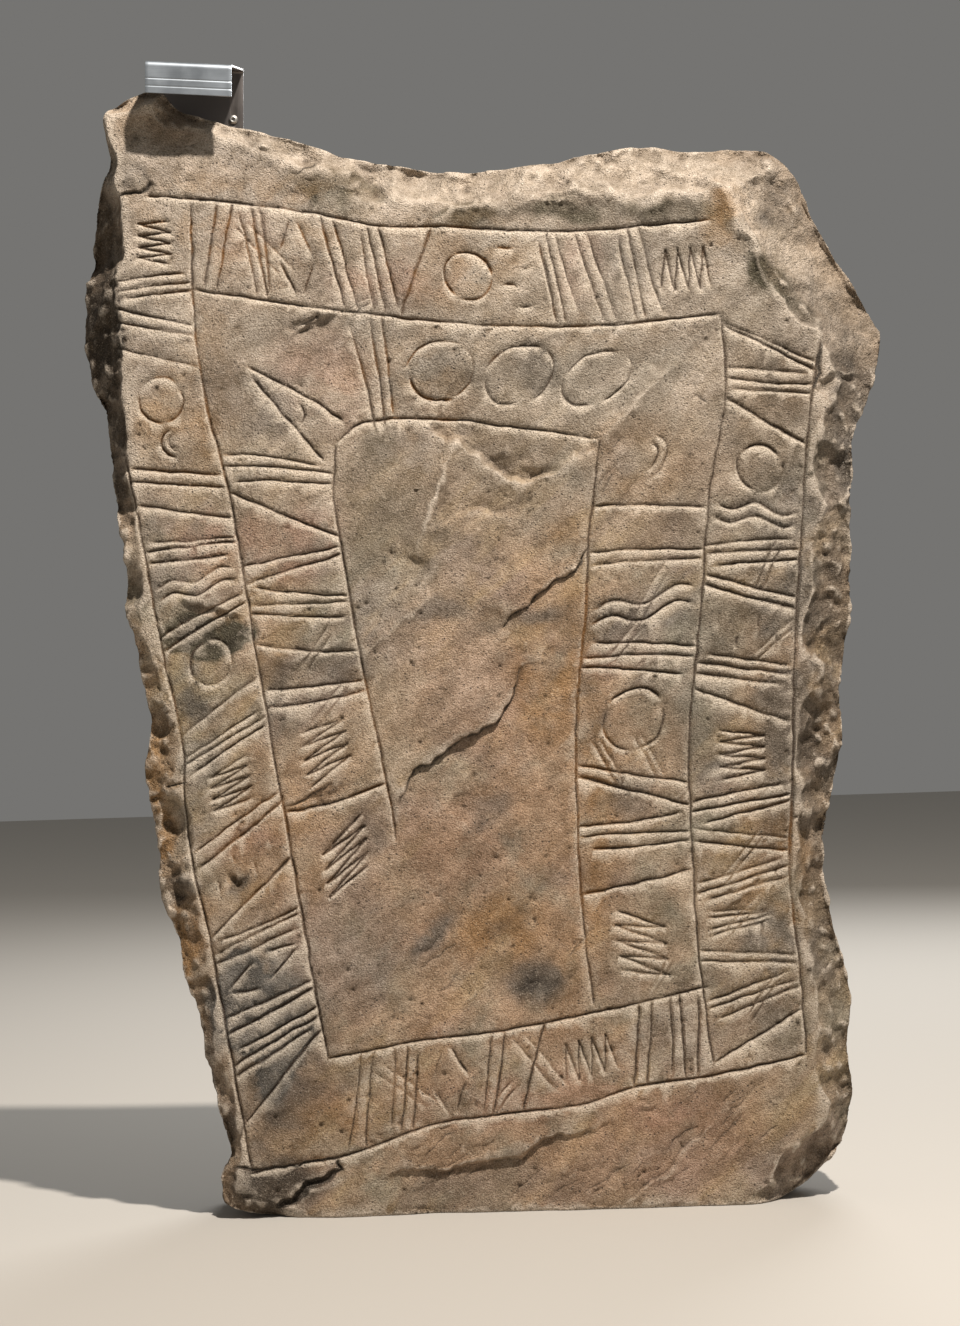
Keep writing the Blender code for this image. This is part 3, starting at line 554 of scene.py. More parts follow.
def grooveDepth(points, grooves):
    # V section with a rounded shoulder, deepest on the path; the hand-cut line wavers, widens and fades
    x, z = points[:, 0], points[:, 1]
    wavered = astray(points, (0.9, 0.4), (16, 6), 41)
    wide = 1 + 0.22 * swell(x, z, 34, 45) + 0.16 * swell(x, z, 8, 46)
    deep = 1 + 0.30 * swell(x, z, 48, 47) + 0.15 * swell(x, z, 11, 48)
    near = Nearby(wavered)
    depth = np.zeros(len(points))
    for path, half, full in grooves:
        chosen = near.around(path, half * 1.7)
        gap, _, along = distanceTo(wavered[chosen], path)
        length = np.linalg.norm(np.diff(path, axis=0), axis=1).sum()
        full = full * (0.35 + 0.65 * np.clip(np.minimum(along, 1 - along) * length / 7, 0, 1))
        t = 1 - gap / (half * wide[chosen])
        section = (t + np.sqrt(t * t + 0.004)) / 2 - 0.002
        depth[chosen] = np.maximum(depth[chosen], full * deep[chosen] * np.clip(section, 0, None))
    return depth


def marginFall(points, rim):
    # the broken margin: the deepest of the slopes that run in from every place on the rim
    wavered = astray(points, (5.5, 2.2), (42, 15), 51)
    # flakes have bitten round scallops out of its inner border
    bites = quietShare(points) * (scars(inSpace(points), 62, 55) - 0.5)
    near = Nearby(wavered)
    fall = np.zeros(len(points))
    for rimX, rimZ, width, deep in rim:
        chosen = near.around([(rimX, rimZ)], width * 1.3)
        gap = np.hypot(wavered[chosen, 0] - rimX, wavered[chosen, 1] - rimZ) + 0.6 * width * bites[chosen]
        fall[chosen] = np.maximum(fall[chosen], deep * np.clip(1 - gap / width, 0, 1) ** 0.85)
    return fall


def stepDrop(points, path, drop, reach, half):
    # a step down across a path that dies away beyond it and towards both ends
    gap, side, along = distanceTo(points, path)
    across = np.clip(0.5 + side * gap / (2 * half), 0, 1)
    ends = np.clip(4 * along * (1 - along), 0, 1) ** 0.5
    return drop * ends * across * np.exp(-gap / reach)


def inEllipse(points, x, z, halfX, halfZ, turn):
    # places along the two axes of a turned ellipse, as shares of its half sizes
    c, s = math.cos(math.radians(turn)), math.sin(math.radians(turn))
    dx, dz = points[:, 0] - x, points[:, 1] - z
    return (dx * c + dz * s) / halfX, (dz * c - dx * s) / halfZ


def bowls(near, rows):
    # each bowl is depth times (1 - r squared) squared inside its ellipse
    depth = np.zeros(len(near.points))
    for x, z, halfX, halfZ, turn, deep in rows:
        chosen = near.around([(x, z)], max(halfX, halfZ))
        u, v = inEllipse(near.points[chosen], x, z, halfX, halfZ, turn)
        depth[chosen] += deep * np.clip(1 - (u ** 2 + v ** 2), 0, 1) ** 2
    return depth


def quietShare(points):
    # 1 on ordinary stone, down to 0.2 where the margin is smoother
    return 1 - 0.8 * bowls(Nearby(points), relief["quiet"])


def inSpace(points):
    # places on the face as points in space
    return np.column_stack([points[:, 0], 0 * points[:, 0], points[:, 1]])


def topShare(x, z):
    # nothing on the face, 1 along the slab's top
    return ease((z - 1000 + 0.25 * x) / 90)


def scatteredPits(points, pitch, seed, share):
    # one possible pit in each cell of a net: a round bowl of random size; share of cells that have one
    chance = np.random.default_rng(seed)
    table = chance.uniform(0, 1, (4096, 4))
    cell = np.floor(points / pitch).astype(int)
    depth = np.zeros(len(points))
    for step in np.ndindex(3, 3):
        spot = cell + np.array(step) - 1
        row = table[(spot[:, 0] * 73 + spot[:, 1] * 37) % 4096]
        centre = (spot + 0.2 + 0.6 * row[:, :2]) * pitch
        radius = 1.3 + 2.4 * row[:, 2] ** 3
        r2 = ((points - centre) ** 2).sum(axis=1) / radius ** 2
        depth = np.maximum(depth, (row[:, 3] < share) * 0.62 * radius * np.clip(1 - r2, 0, 1))
    return depth


def dentRows():
    # small oblong dents scattered about each family's middle, as rows for bowls
    rows = []
    for number, (x, z, halfX, halfZ, count) in enumerate(relief["dents"]):
        chance = np.random.default_rng(250 + number)
        place = np.array([x, z]) + np.array([halfX, halfZ]) * chance.normal(0, 0.55, (count, 2))
        long = chance.uniform(2.4, 6.5, count)
        rows += list(zip(*place.T, long, long * chance.uniform(0.35, 0.8, count),
                         chance.uniform(0, 180, count), chance.uniform(0.5, 1.7, count)))
    return rows


def scattered(rows, seed, sway, shortest, bow, sizes, reversible=False):
    # short bowed strokes scattered about each family's middle, each with the sizes drawn for it
    strokes = []
    for number, (x, z, halfX, halfZ, angle, count, length) in enumerate(rows):
        chance = np.random.default_rng(seed + number)
        for _ in range(count):
            turn = angle + chance.uniform(-sway, sway)
            if reversible:
                turn += 180 * chance.integers(0, 2)
            ahead = np.array([math.cos(math.radians(turn)), math.sin(math.radians(turn))])
            middle = np.array([x + halfX * chance.uniform(-1, 1), z + halfZ * chance.uniform(-1, 1)])
            reach = 0.5 * length * chance.uniform(shortest, 1.2) * ahead
            bend = np.array([-reach[1], reach[0]]) * chance.uniform(-bow, bow)
            path = np.array([middle - reach, middle + bend, middle + reach])
            strokes.append((path, *(chance.uniform(low, high) for low, high in sizes)))
    return strokes


def faceRelief(points, rim, grooves):
    # depth of the carved face below its plane, with the parts that the finish needs
    x, z = points[:, 0], points[:, 1]
    near = Nearby(points)
    margin = marginFall(points, rim)
    worn = 2.6 * swell(x, z, 150, 1) + 1.9 * swell(x, z, 62, 2)
    # long low waves run with the bedding, 40 degrees off level
    rolled = swell(x * 0.77 + z * 0.64, (z * 0.77 - x * 0.64) * 3.4, 150, 12)
    quiet = quietShare(points)
    fine = 1.9 * swell(x, z, 26, 13) + 1.0 * rolled + 3.4 * swell(x, z, 84, 10)
    # shallow flake scars with soft ridges between them, stronger where the skin is broken
    fine -= (1.5 + 7.0 * quiet * np.clip(margin / 10, 0, 1)) * (scars(inSpace(points), 46, 23) - 0.45) * 1.5
    upper = 1 + 0.7 * topShare(x, z)
    rough = quiet * np.clip(margin / 8, 0, 1) * upper * (3.8 * swell(x, z, 21, 3) + 2.2 * swell(x, z, 9, 7))
    hollows = bowls(near, stele["hollows"])
    chipped = points + np.column_stack([2.2 * swell(x, z, 9, 15), 2.2 * swell(x, z, 9, 16)])
    nearChipped = Nearby(chipped)
    chips = bowls(nearChipped, relief["chips"] + dentRows())
    pits = bowls(near, [(a, b, r, r, 0, deep) for a, b, r, deep in relief["pits"]])
    pits = np.maximum(pits, scatteredPits(points, 17, 17, 0.34))
    jagged = astray(points, (3.4, 2.3), (19, 8), 18)
    nearJagged = Nearby(jagged)
    steps = np.zeros(len(points))
    splits = [(stele["split"], stele["splitDrop"], stele["splitReach"], stele["splitHalf"])]
    flakes = scattered(relief["flakes"], 170, 14, 0.5, 0.4, [(0.8, 2.0), (6, 14)], reversible=True)
    for path, drop, reach, half in splits + relief["steps"] + [(*flake, 1.0) for flake in flakes]:
        chosen = nearJagged.around(path, reach * 4)
        steps[chosen] += stepDrop(jagged[chosen], path, drop, reach, half)
    raw = bowls(nearJagged, relief["raw"])
    # each ridge is a peaked crest with a broad dip beside it
    ridges = np.zeros(len(points))
    for path, height, half in relief["ridges"]:
        chosen = nearChipped.around(path, half * 2.6)
        gap, _, along = distanceTo(chipped[chosen], path)
        ends = np.clip(4 * along * (1 - along), 0, 1) ** 0.5
        ridges[chosen] += height * ends * (1.3 * np.exp(-(gap / half) ** 1.2)
                                              - 0.3 * np.exp(-(gap / half / 2) ** 2))
    cracks = np.zeros(len(points))
    parting = [(stele["crack"], stele["crackHalf"], stele["crackDepth"])]
    scores = scattered(relief["scores"], 70, 7, 0.4, 0.1, [(1.3, 2.4), (0.6, 1.5)])
    for path, half, deep in parting + relief["cracks"] + scores:
        chosen = nearJagged.around(path, half)
        gap, _, along = distanceTo(jagged[chosen], path)
        ends = np.clip(6 * along * (1 - along), 0, 1) ** 0.5
        cracks[chosen] = np.maximum(cracks[chosen], deep * ends * np.clip(1 - gap / half, 0, 1))
    sound = np.clip(1 - margin / 30, 0, 1)
    cut = grooveDepth(points, grooves) * sound
    depth = worn + fine + rough + hollows + chips + steps - ridges + margin
    depth += np.maximum(cut, cracks) + pits * (0.4 + 0.6 * sound)
    return depth, margin, cut, cracks, raw


def facePlane(z):
    # the face leans back a little as it rises
    return stele["faceFoot"] + stele["faceLean"] * z


def netBetween(left, right, foot, top):
    # Coons patch: the mean of the surfaces ruled between opposite sides, less the one through the corners
    u = np.linspace(0, 1, len(foot))[None, :, None]
    v = np.linspace(0, 1, len(left))[:, None, None]
    across = left[:, None] * (1 - u) + right[:, None] * u
    along = foot[None] * (1 - v) + top[None] * v
    corners = (foot[0] * (1 - u) + foot[-1] * u) * (1 - v) + (top[0] * (1 - u) + top[-1] * u) * v
    return across + along - corners


def quadNet(ids, flip=False):
    # quads of a net of point numbers
    a, b, c, d = ids[:-1, :-1], ids[:-1, 1:], ids[1:, 1:], ids[1:, :-1]
    corners = (a, d, c, b) if flip else (a, b, c, d)
    return np.stack([corner.ravel() for corner in corners], axis=1)


def halved(quads):
    # each quad as two triangles
    return np.vstack([quads[:, [0, 1, 2]], quads[:, [0, 2, 3]]])


def smoothInward(ring, reach):
    # unit normals that point into a clockwise ring, after the ring is smoothed over some points
    window = np.hanning(2 * reach + 3)[1:-1]
    window /= window.sum()
    wrapped = np.vstack([ring[-reach:], ring, ring[:reach]])
    soft = np.column_stack([np.convolve(column, window, "valid") for column in wrapped.T])
    tangent = np.roll(soft, -1, axis=0) - np.roll(soft, 1, axis=0)
    tangent /= np.linalg.norm(tangent, axis=1)[:, None] + 1e-9
    return np.column_stack([tangent[:, 1], -tangent[:, 0]])


def buildStele(material):
    # the face is a net inside the outline, at the leaning plane's depth plus the relief's
    coarse = 1
    step = stele["step"] * coarse
    outline = edgePoints(stele["edgeStep"])
    corners = [int(np.argmin(np.hypot(outline[:, 0] - x, outline[:, 1] - z))) for x, z in stele["corners"]]
    outline = np.roll(outline, -corners[0], axis=0)
    cuts = [(k - corners[0]) % len(outline) for k in corners] + [len(outline)]
    closed = np.vstack([outline, outline[:1]])[:, :2]
    # both counts can be divided by three, because the flank's coarse rows keep every third point
    nu, nv = [3 * round(size / step / 3) for size in stele["netSize"]]
    left, top, right, foot = [spaced(closed[a:b + 1], n) for a, b, n in
                              zip(cuts[:-1], cuts[1:], (nv, nu, nv, nu))]
    flat = netBetween(left, right[::-1], foot[::-1], top).reshape(-1, 2)
    rim = edgePoints(stele["rimStep"])
    grooves = allGrooves()
    depth, margin, _, _, raw = faceRelief(flat, rim, grooves)
    face = np.column_stack([flat[:, 0], facePlane(flat[:, 1]) + depth, flat[:, 1]])
    ids = np.arange(len(face)).reshape(nv + 1, nu + 1)
    ringIds = np.r_[ids[:, 0], ids[-1, 1:], ids[-2::-1, -1], ids[0, -2:0:-1]]
    ring = face[ringIds]
    print("stele: face net of", len(face), "points")

    # the flank: from the rim back to the rear edge, drawn in as it goes; behind the fine rows near the
    # rim only every third point goes on
    inward = smoothInward(ring[:, [0, 2]], round(24 / step))
    sideY = stele["back"] - stele["backChamfer"]
    triangles = [halved(quadNet(ids))]
    points = [face]
    smoother = 1 - 0.7 * bowls(Nearby(flat), relief["quiet"])
    broken = [np.maximum(np.clip(margin / 9, 0, 0.8) * smoother, 0.55 * np.clip(raw, 0, 1))]
    crumbly = [np.ones(len(face))]
    last = ringIds
    count = len(face)
    rimRows, sideRows = [round(stele[name] / coarse) for name in ("rimRows", "sideRows")]
    shares = np.r_[np.linspace(0, stele["rimShare"], rimRows + 1)[1:],
                   np.linspace(stele["rimShare"], 1, sideRows + 1)[1:]]
    for number, share in enumerate(shares):
        if number == rimRows:
            ring, inward = ring[::3], inward[::3]
        onFoot = ring[:, 2] < 0.01
        backY = np.where(onFoot, stele["back"] - 3, stele["back"])
        if share < stele["flankShare"]:
            t = share / stele["flankShare"]
            y = ring[:, 1] + (sideY - ring[:, 1]) * t
            inset = stele["flankInset"] * math.sin(t * math.pi / 2)
        else:
            t = (share - stele["flankShare"]) / stele["chamferShare"]
            y = sideY + (backY - sideY) * t
            inset = stele["flankInset"] + (stele["backInset"] - stele["flankInset"]) * t ** 1.5
        spots = ring[:, [0, 2]] + inward * inset
        spots[onFoot, 1] = 0
        points.append(np.column_stack([spots[:, 0], y, np.maximum(spots[:, 1], 0)]))
        new = np.arange(count, count + len(ring))
        if number == rimRows:
            a, b, c, d = last[::3], last[1::3], last[2::3], np.roll(last[::3], -1)
            low, high = new, np.roll(new, -1)
            triangles += [np.stack(corners, axis=1) for corners in
                          ((a, b, low), (b, high, low), (b, c, high), (c, d, high))]
        else:
            strip = np.stack([np.r_[last, last[:1]], np.r_[new, new[:1]]], axis=1)
            triangles.append(halved(quadNet(strip, True)))
        broken.append(np.full(len(ring), 0.75 + 0.25 * min(1, share / 0.15)))
        crumbly.append(np.full(len(ring), max(0.35, 1 - 1.2 * share)))
        last, count = new, count + len(ring)

    # the back: another net inside the last ring, a little hollow between its edges, but flat and unbroken
    # where the hook's plate stands behind it
    nu, nv = nu // 3, nv // 3
    rear = points[-1]
    sides = [rear[a:b] for a, b in ((0, nv + 1), (nv, nv + nu + 1), (nv + nu, 2 * nv + nu + 1))]
    low = np.vstack([rear[2 * nv + nu:], rear[:1]])
    back = netBetween(sides[0], sides[2][::-1], low[::-1], sides[1])
    backIds = np.full((nv + 1, nu + 1), -1)
    backIds[1:-1, 1:-1] = np.arange(count, count + (nv - 1) * (nu - 1)).reshape(nv - 1, nu - 1)
    backIds[:, 0], backIds[-1, 1:] = last[:nv + 1], last[nv + 1:nv + nu + 1]
    backIds[-2::-1, -1], backIds[0, -2:0:-1] = last[nv + nu + 1:2 * nv + nu + 1], last[2 * nv + nu + 1:]
    v, u = np.mgrid[0:nv + 1, 0:nu + 1]
    rimGap = np.minimum(np.minimum(u, nu - u), np.minimum(v, nv - v)) * step * 3
    x, z = back[..., 0], back[..., 2]
    seatX, seatZ = stele["seat"]
    away = np.hypot(x - seatX, z - seatZ)
    back[..., 1] -= (3.5 + 3.5 * swell(x, z, 90, 11)) * np.clip(away / 60 - 1.5, 0, 1) * ease(rimGap / 60)
    points.append(back[1:-1, 1:-1].reshape(-1, 3))
    triangles.append(halved(quadNet(backIds, True)))
    backBroken = (0.35 + 0.65 * np.exp(-rimGap / 25)) * ease(away / 50 - 1.4)
    broken.append(backBroken[1:-1, 1:-1].ravel())
    crumbly.append(np.full((nv - 1) * (nu - 1), 0.12))

    points, triangles = np.vstack(points), np.vstack(triangles)
    broken, crumbly = np.concatenate(broken), np.concatenate(crumbly)
    mesh = meshFromArrays("stele", points * mm, triangles)
    print("stele: closed mesh of", len(triangles), "triangles")

    # broken stone: dishes and crumbs pushed along the normal, none of it on the flat underside
    normal = vertexArray(mesh, "normal")
    held = ease((points[:, 2] - 1) / 14)
    push = np.zeros(len(points))
    some = np.flatnonzero((broken > 0.02) & (held > 0))
    spots = points[some]
    dishes = 6.5 * (0.45 - scars(spots, 34, 81)) + 3.6 * (0.45 - scars(spots, 13, 82)) * crumbly[some]
    crumbs = 1.3 * grit(spots, 19, 83)
    crumbs += (1.1 * grit(spots, 8, 84) + 0.7 * grit(spots, 4.2, 85)) * crumbly[some]
    crest = 1 - 0.8 * np.clip((spots[:, 2] - 1080) / 40, 0, 1)
    push[some] = crest * broken[some] * (-np.clip(dishes, -3.5, 6) + crumbs - 0.8)
    moved = points + normal * (push * held)[:, None]
    moved[:, 2] = np.maximum(moved[:, 2], 0)
    behindPlate = np.hypot(points[:, 0] - seatX, points[:, 2] - seatZ) < stele["seatReach"]
    seatZone = behindPlate & (points[:, 1] > 60)
    moved[seatZone, 1] = np.minimum(moved[seatZone, 1], stele["back"])
    mesh.vertices.foreach_set("co", (moved * mm).astype(np.float32).ravel())
    mesh.update()

    made = addObject("steleStone", mesh, material)
    thin = made.modifiers.new("thin", "DECIMATE")
    thin.ratio = min(1, stele["triangles"] / len(triangles))
    thin.use_collapse_triangulate = True
    finished(made)
    mesh = made.data
    mesh.shade_smooth()
    print("stele: thinned to", len(mesh.polygons), "triangles")
    dress(mesh, rim, grooves)
    return made


# where the stone's colour changes, and where shade is painted on it: x, z, half sizes, turn in degrees,
# strength
stains = {
    "green": [
        (-321, 625, 52, 25, 3, 4.0), (-24, 1069, 42, 13, -2, 1.0), (89, 1071, 74, 14, -4, 1.0),
        (201, 1065, 46, 16, 0, 1.0), (-173, 1103, 42, 20, -25, 1.0), (-139, 1108, 26, 12, -30, 0.9),
        (292, 1002, 76, 15, -52, 1.2), (330, 800, 24, 80, 0, 0.5), (-128, 765, 46, 84, -8, 0.55),
        (-120, 790, 60, 40, 0, 0.35), (60, 900, 150, 34, 0, 0.3), (120, 470, 40, 60, 0, 0.25),
        (285, 860, 50, 110, 0, 0.35),
    ],
    # dark grey patches: partly the stone's own grey, and low on the left partly painted shade
    "slate": [
        (314, 560, 60, 240, 3, 1.0), (226, 560, 56, 120, 0, 0.5), (352, 969, 40, 50, 0, 0.6),
        (318, 880, 40, 60, 0, 0.6), (230, 190, 90, 60, 8, 0.4), (388, 830, 30, 120, 0, 1.2),
        (365, 420, 24, 140, 0, 0.7), (-300, 120, 60, 120, 14, 0.95), (-329, 564, 18, 30, 10, 1.0),
        (-207, 579, 52, 30, 20, 0.7), (-328, 493, 26, 22, 20, 0.8), (-330, 430, 26, 22, 20, 0.5),
        (151, 634, 66, 26, 6, 0.8), (256, 600, 50, 15, 4, 0.7), (278, 280, 34, 34, 30, 1.0),
        (325, 262, 20, 40, 0, 0.9), (256, 217, 50, 40, 0, 0.7), (163, 179, 44, 36, 0, 0.6),
        (24, 245, 34, 24, 0, 1.0), (24, 230, 20, 12, 0, 0.7), (-87, 290, 42, 14, 45, 1.0),
        (-275, 218, 58, 98, 8, 1.9), (-372, 720, 12, 60, 4, 0.6), (-362, 540, 11, 50, 6, 0.7),
        (-237, 154, 36, 60, -20, 0.8), (240, 760, 60, 90, 0, 0.4), (-352, 355, 20, 18, 0, 1.2),
        (-60, 22, 96, 22, 6, 0.6), (-26, 432, 24, 16, 20, 0.7), (41, 902, 26, 26, 0, 0.6),
        (308, 1076, 22, 26, 0, 1.1), (133, 437, 32, 26, 0, 0.7), (89, 531, 14, 44, 0, 0.6),
        (-293, 359, 18, 8, 35, 1.1), (240, 480, 26, 20, 0, 0.5), (-300, 890, 34, 34, 0, 0.8),
        (-244, 872, 34, 40, 0, 0.7), (-120, 960, 30, 30, 0, 0.5), (-75, 893, 52, 30, 0, 0.4),
        (-191, 1010, 32, 26, 0, 0.5), (-376, 975, 26, 16, 0, 0.6), (-110, 1030, 26, 18, 0, 0.35),
        (130, 1010, 44, 26, 0, 0.4), (60, 760, 50, 34, 20, 0.3), (-30, 706, 60, 18, -30, 0.5),
        (-60, 650, 60, 12, 6, 0.8), (20, 636, 60, 12, 4, 0.8),
    ],
    "ochre": [
        (300, 480, 64, 230, 3, 0.7), (247, 361, 44, 44, 0, 0.8), (-386, 430, 22, 190, 4, 1.3),
        (-345, 280, 24, 120, 8, 1.3), (-232, 88, 60, 30, 6, 0.9), (-368, 505, 20, 50, 4, 0.9),
        (-335, 200, 20, 90, 10, 0.8), (249, 1057, 10, 34, 8, 1.0), (323, 876, 20, 34, 0, 0.9),
        (-52, 1033, 22, 20, 0, 1.0), (-15, 301, 44, 36, 0, 0.9), (45, 554, 36, 56, 10, 0.8),
        (72, 721, 26, 18, 0, 0.8), (95, 400, 20, 120, 0, 0.6), (-330, 40, 20, 30, 0, 0.8),
        (60, 250, 40, 60, 0, 0.4), (-360, 1190, 60, 30, 0, 0.5), (345, 500, 30, 200, 0, 0.5),
        (-240, 1000, 90, 30, 0, 0.25), (-318, 870, 12, 70, 4, 0.7), (-358, 862, 36, 26, 0, 0.6),
        (290, 850, 46, 90, 0, 0.45), (160, 800, 60, 50, 0, 0.5), (-300, 700, 26, 26, 0, 0.4),
    ],
    "blush": [
        (-185, 896, 60, 54, 0, 0.7), (-232, 718, 60, 34, 4, 0.9), (-319, 723, 34, 36, 0, 0.9),
        (150, 100, 36, 16, -6, 1.2), (-293, 400, 48, 18, 8, 0.8), (107, 585, 26, 16, 0, 0.8),
        (20, 120, 130, 30, 4, 0.6), (-60, 400, 60, 60, 0, 0.4), (180, 60, 70, 40, 30, 0.5),
        (-110, 1000, 60, 26, 0, 0.9), (-262, 1056, 40, 26, 0, 0.6), (96, 1010, 26, 40, 0, 0.5),
        (-30, 560, 60, 40, 0, 0.3),
    ],
    "glow": [
        (-40, 120, 300, 130, 4, 0.8), (60, 480, 110, 150, 0, 0.8), (-20, 330, 130, 130, 0, 0.8),
        (-270, 640, 60, 130, 0, 0.3), (-250, 420, 60, 110, 0, 0.5), (10, 620, 80, 80, 0, 0.5),
        (-60, 580, 70, 90, 0, 0.7),
    ],
    "bright": [
        (20, 1106, 190, 22, 0, 1.0), (200, 1112, 70, 26, 0, 0.7), (300, 1050, 46, 70, 30, 0.5),
        (390, 940, 26, 30, 0, 0.5), (-190, 1140, 90, 14, -12, 0.5), (-385, 1180, 16, 26, 0, 0.4),
        (-372, 440, 22, 190, 5, 1.3), (-118, 620, 46, 190, -6, 0.5), (-50, 600, 50, 80, 0, 0.35),
        (122, 190, 5, 11, -25, 1.4), (130, 178, 8, 4, 20, 1.2),
    ],
    # near-black patches; the strong ones high on the left flank are painted shade where that flank faces
    # away from the light
    "darkPatches": [
        (359, 674, 16, 26, 0, 1.0), (338, 482, 18, 16, 0, 0.9), (-268, 30, 52, 26, 8, 0.9),
        (-384, 1121, 12, 12, 0, 0.9), (-320, 627, 46, 22, 3, 0.9), (-434, 970, 28, 170, 0, 2.6),
        (-419, 830, 18, 80, 0, 2.0), (375, 900, 26, 18, 0, 0.6), (24, 240, 16, 10, 0, 0.8),
        (-340, 1050, 10, 8, 0, 0.4), (372, 590, 12, 60, 0, 0.5),
    ],
    "rust": [
        (-260, 1070, 130, 60, 0, 0.8), (-330, 900, 60, 130, 0, 0.6), (-40, 1020, 90, 50, 0, 0.9),
        (-90, 860, 60, 70, 0, 0.7), (250, 1040, 30, 40, 0, 1.0), (80, 500, 24, 240, 0, 0.8),
        (-380, 560, 30, 120, 0, 0.5), (-110, 880, 60, 80, 0, 0.5), (-150, 500, 30, 120, 0, 0.5),
        (296, 360, 24, 60, 0, 0.8), (-260, 400, 60, 90, 0, 0.5), (40, 940, 140, 24, 0, 0.5),
        (160, 100, 100, 40, 0, 0.3),
    ],
}


def hollowness(mesh, points, normal):
    # the mean slope up from a point to its neighbours, spread a little: hollows are positive
    edges = np.empty(len(mesh.edges) * 2, np.int32)
    mesh.edges.foreach_get("vertices", edges)
    one, two = edges.reshape(-1, 2).T
    count = np.bincount(one, minlength=len(points)) + np.bincount(two, minlength=len(points))
    gap = points[two] - points[one]
    length = np.linalg.norm(gap, axis=1)
    total = np.zeros(len(points))
    for near, sign in ((one, 1), (two, -1)):
        slope = sign * (gap * normal[near]).sum(axis=1) / length
        total += np.bincount(near, weights=slope, minlength=len(points))
    bent = total / np.maximum(count, 1)
    for _ in range(3):
        spread = (np.bincount(one, weights=bent[two], minlength=len(points))
                  + np.bincount(two, weights=bent[one], minlength=len(points)))
        bent = 0.5 * bent + 0.5 * spread / np.maximum(count, 1)
    return bent


def dress(mesh, rim, grooves):
    # attributes that the finish reads: cut lines, broken stone, hollows and edges, stains
    points, normal = vertexArray(mesh) / mm, vertexArray(mesh, "normal")
    flat = points[:, [0, 2]]
    front = np.clip((10 - points[:, 1]) / 30, 0, 1)
    _, margin, cut, cracks, raw = faceRelief(flat, rim, grooves)
    facing = ease((-normal[:, 1] - 0.1) / 0.5) * front
    # the lower lip of a cut is painted pale as a highlight where it faces the light: places that have a cut
    # just above them
    above = grooveDepth(flat + (0.8, 2.6), grooves)
    lip = np.clip((above - 1.2 * cut) / 1.5, 0, 1)
    setAttribute(mesh, "lip", lip * front * np.clip(1 - margin / 20, 0, 1))
    setAttribute(mesh, "cut", np.clip(cut / 2.6, 0, 1) * front)
    setAttribute(mesh, "crack", np.clip(cracks / 2.5, 0, 1) * front)
    setAttribute(mesh, "broken", np.maximum.reduce([np.clip(margin / 14, 0, 1), 0.7 * raw, 1 - front]))
    setAttribute(mesh, "flank", 1 - facing)
    # the finish darkens hollows and pales raised edges from this: partly dirt and wear, partly painted
    # shade and highlight
    hollow = 2.2 * (0.35 + 0.65 * facing) * hollowness(mesh, points, normal)
    setAttribute(mesh, "hollow", np.clip(0.5 + hollow, 0, 1))
    # stains wander and have soft edges, the green ones least
    wander = astray(flat, (9, 4), (34, 12), 91)
    near = Nearby(wander)
    for name, rows in stains.items():
        total = np.zeros(len(flat))
        soft = 0.4 if name == "green" else 0.9
        for a, b, halfX, halfZ, turn, strength in rows:
            chosen = near.around([(a, b)], max(halfX, halfZ) * 1.5)
            r = np.hypot(*inEllipse(wander[chosen], a, b, halfX, halfZ, turn))
            total[chosen] = np.maximum(total[chosen], strength * ease((1 + soft / 2 - r) / soft))
        if name == "bright":
            # the fresh break along the top shows pale wherever it has bitten in
            total = np.maximum(total * 0.6, np.clip(margin / 3, 0, 1) * topShare(*flat.T) * 0.8)
        setAttribute(mesh, name, total * np.clip((40 - points[:, 1]) / 60, 0.25, 1))


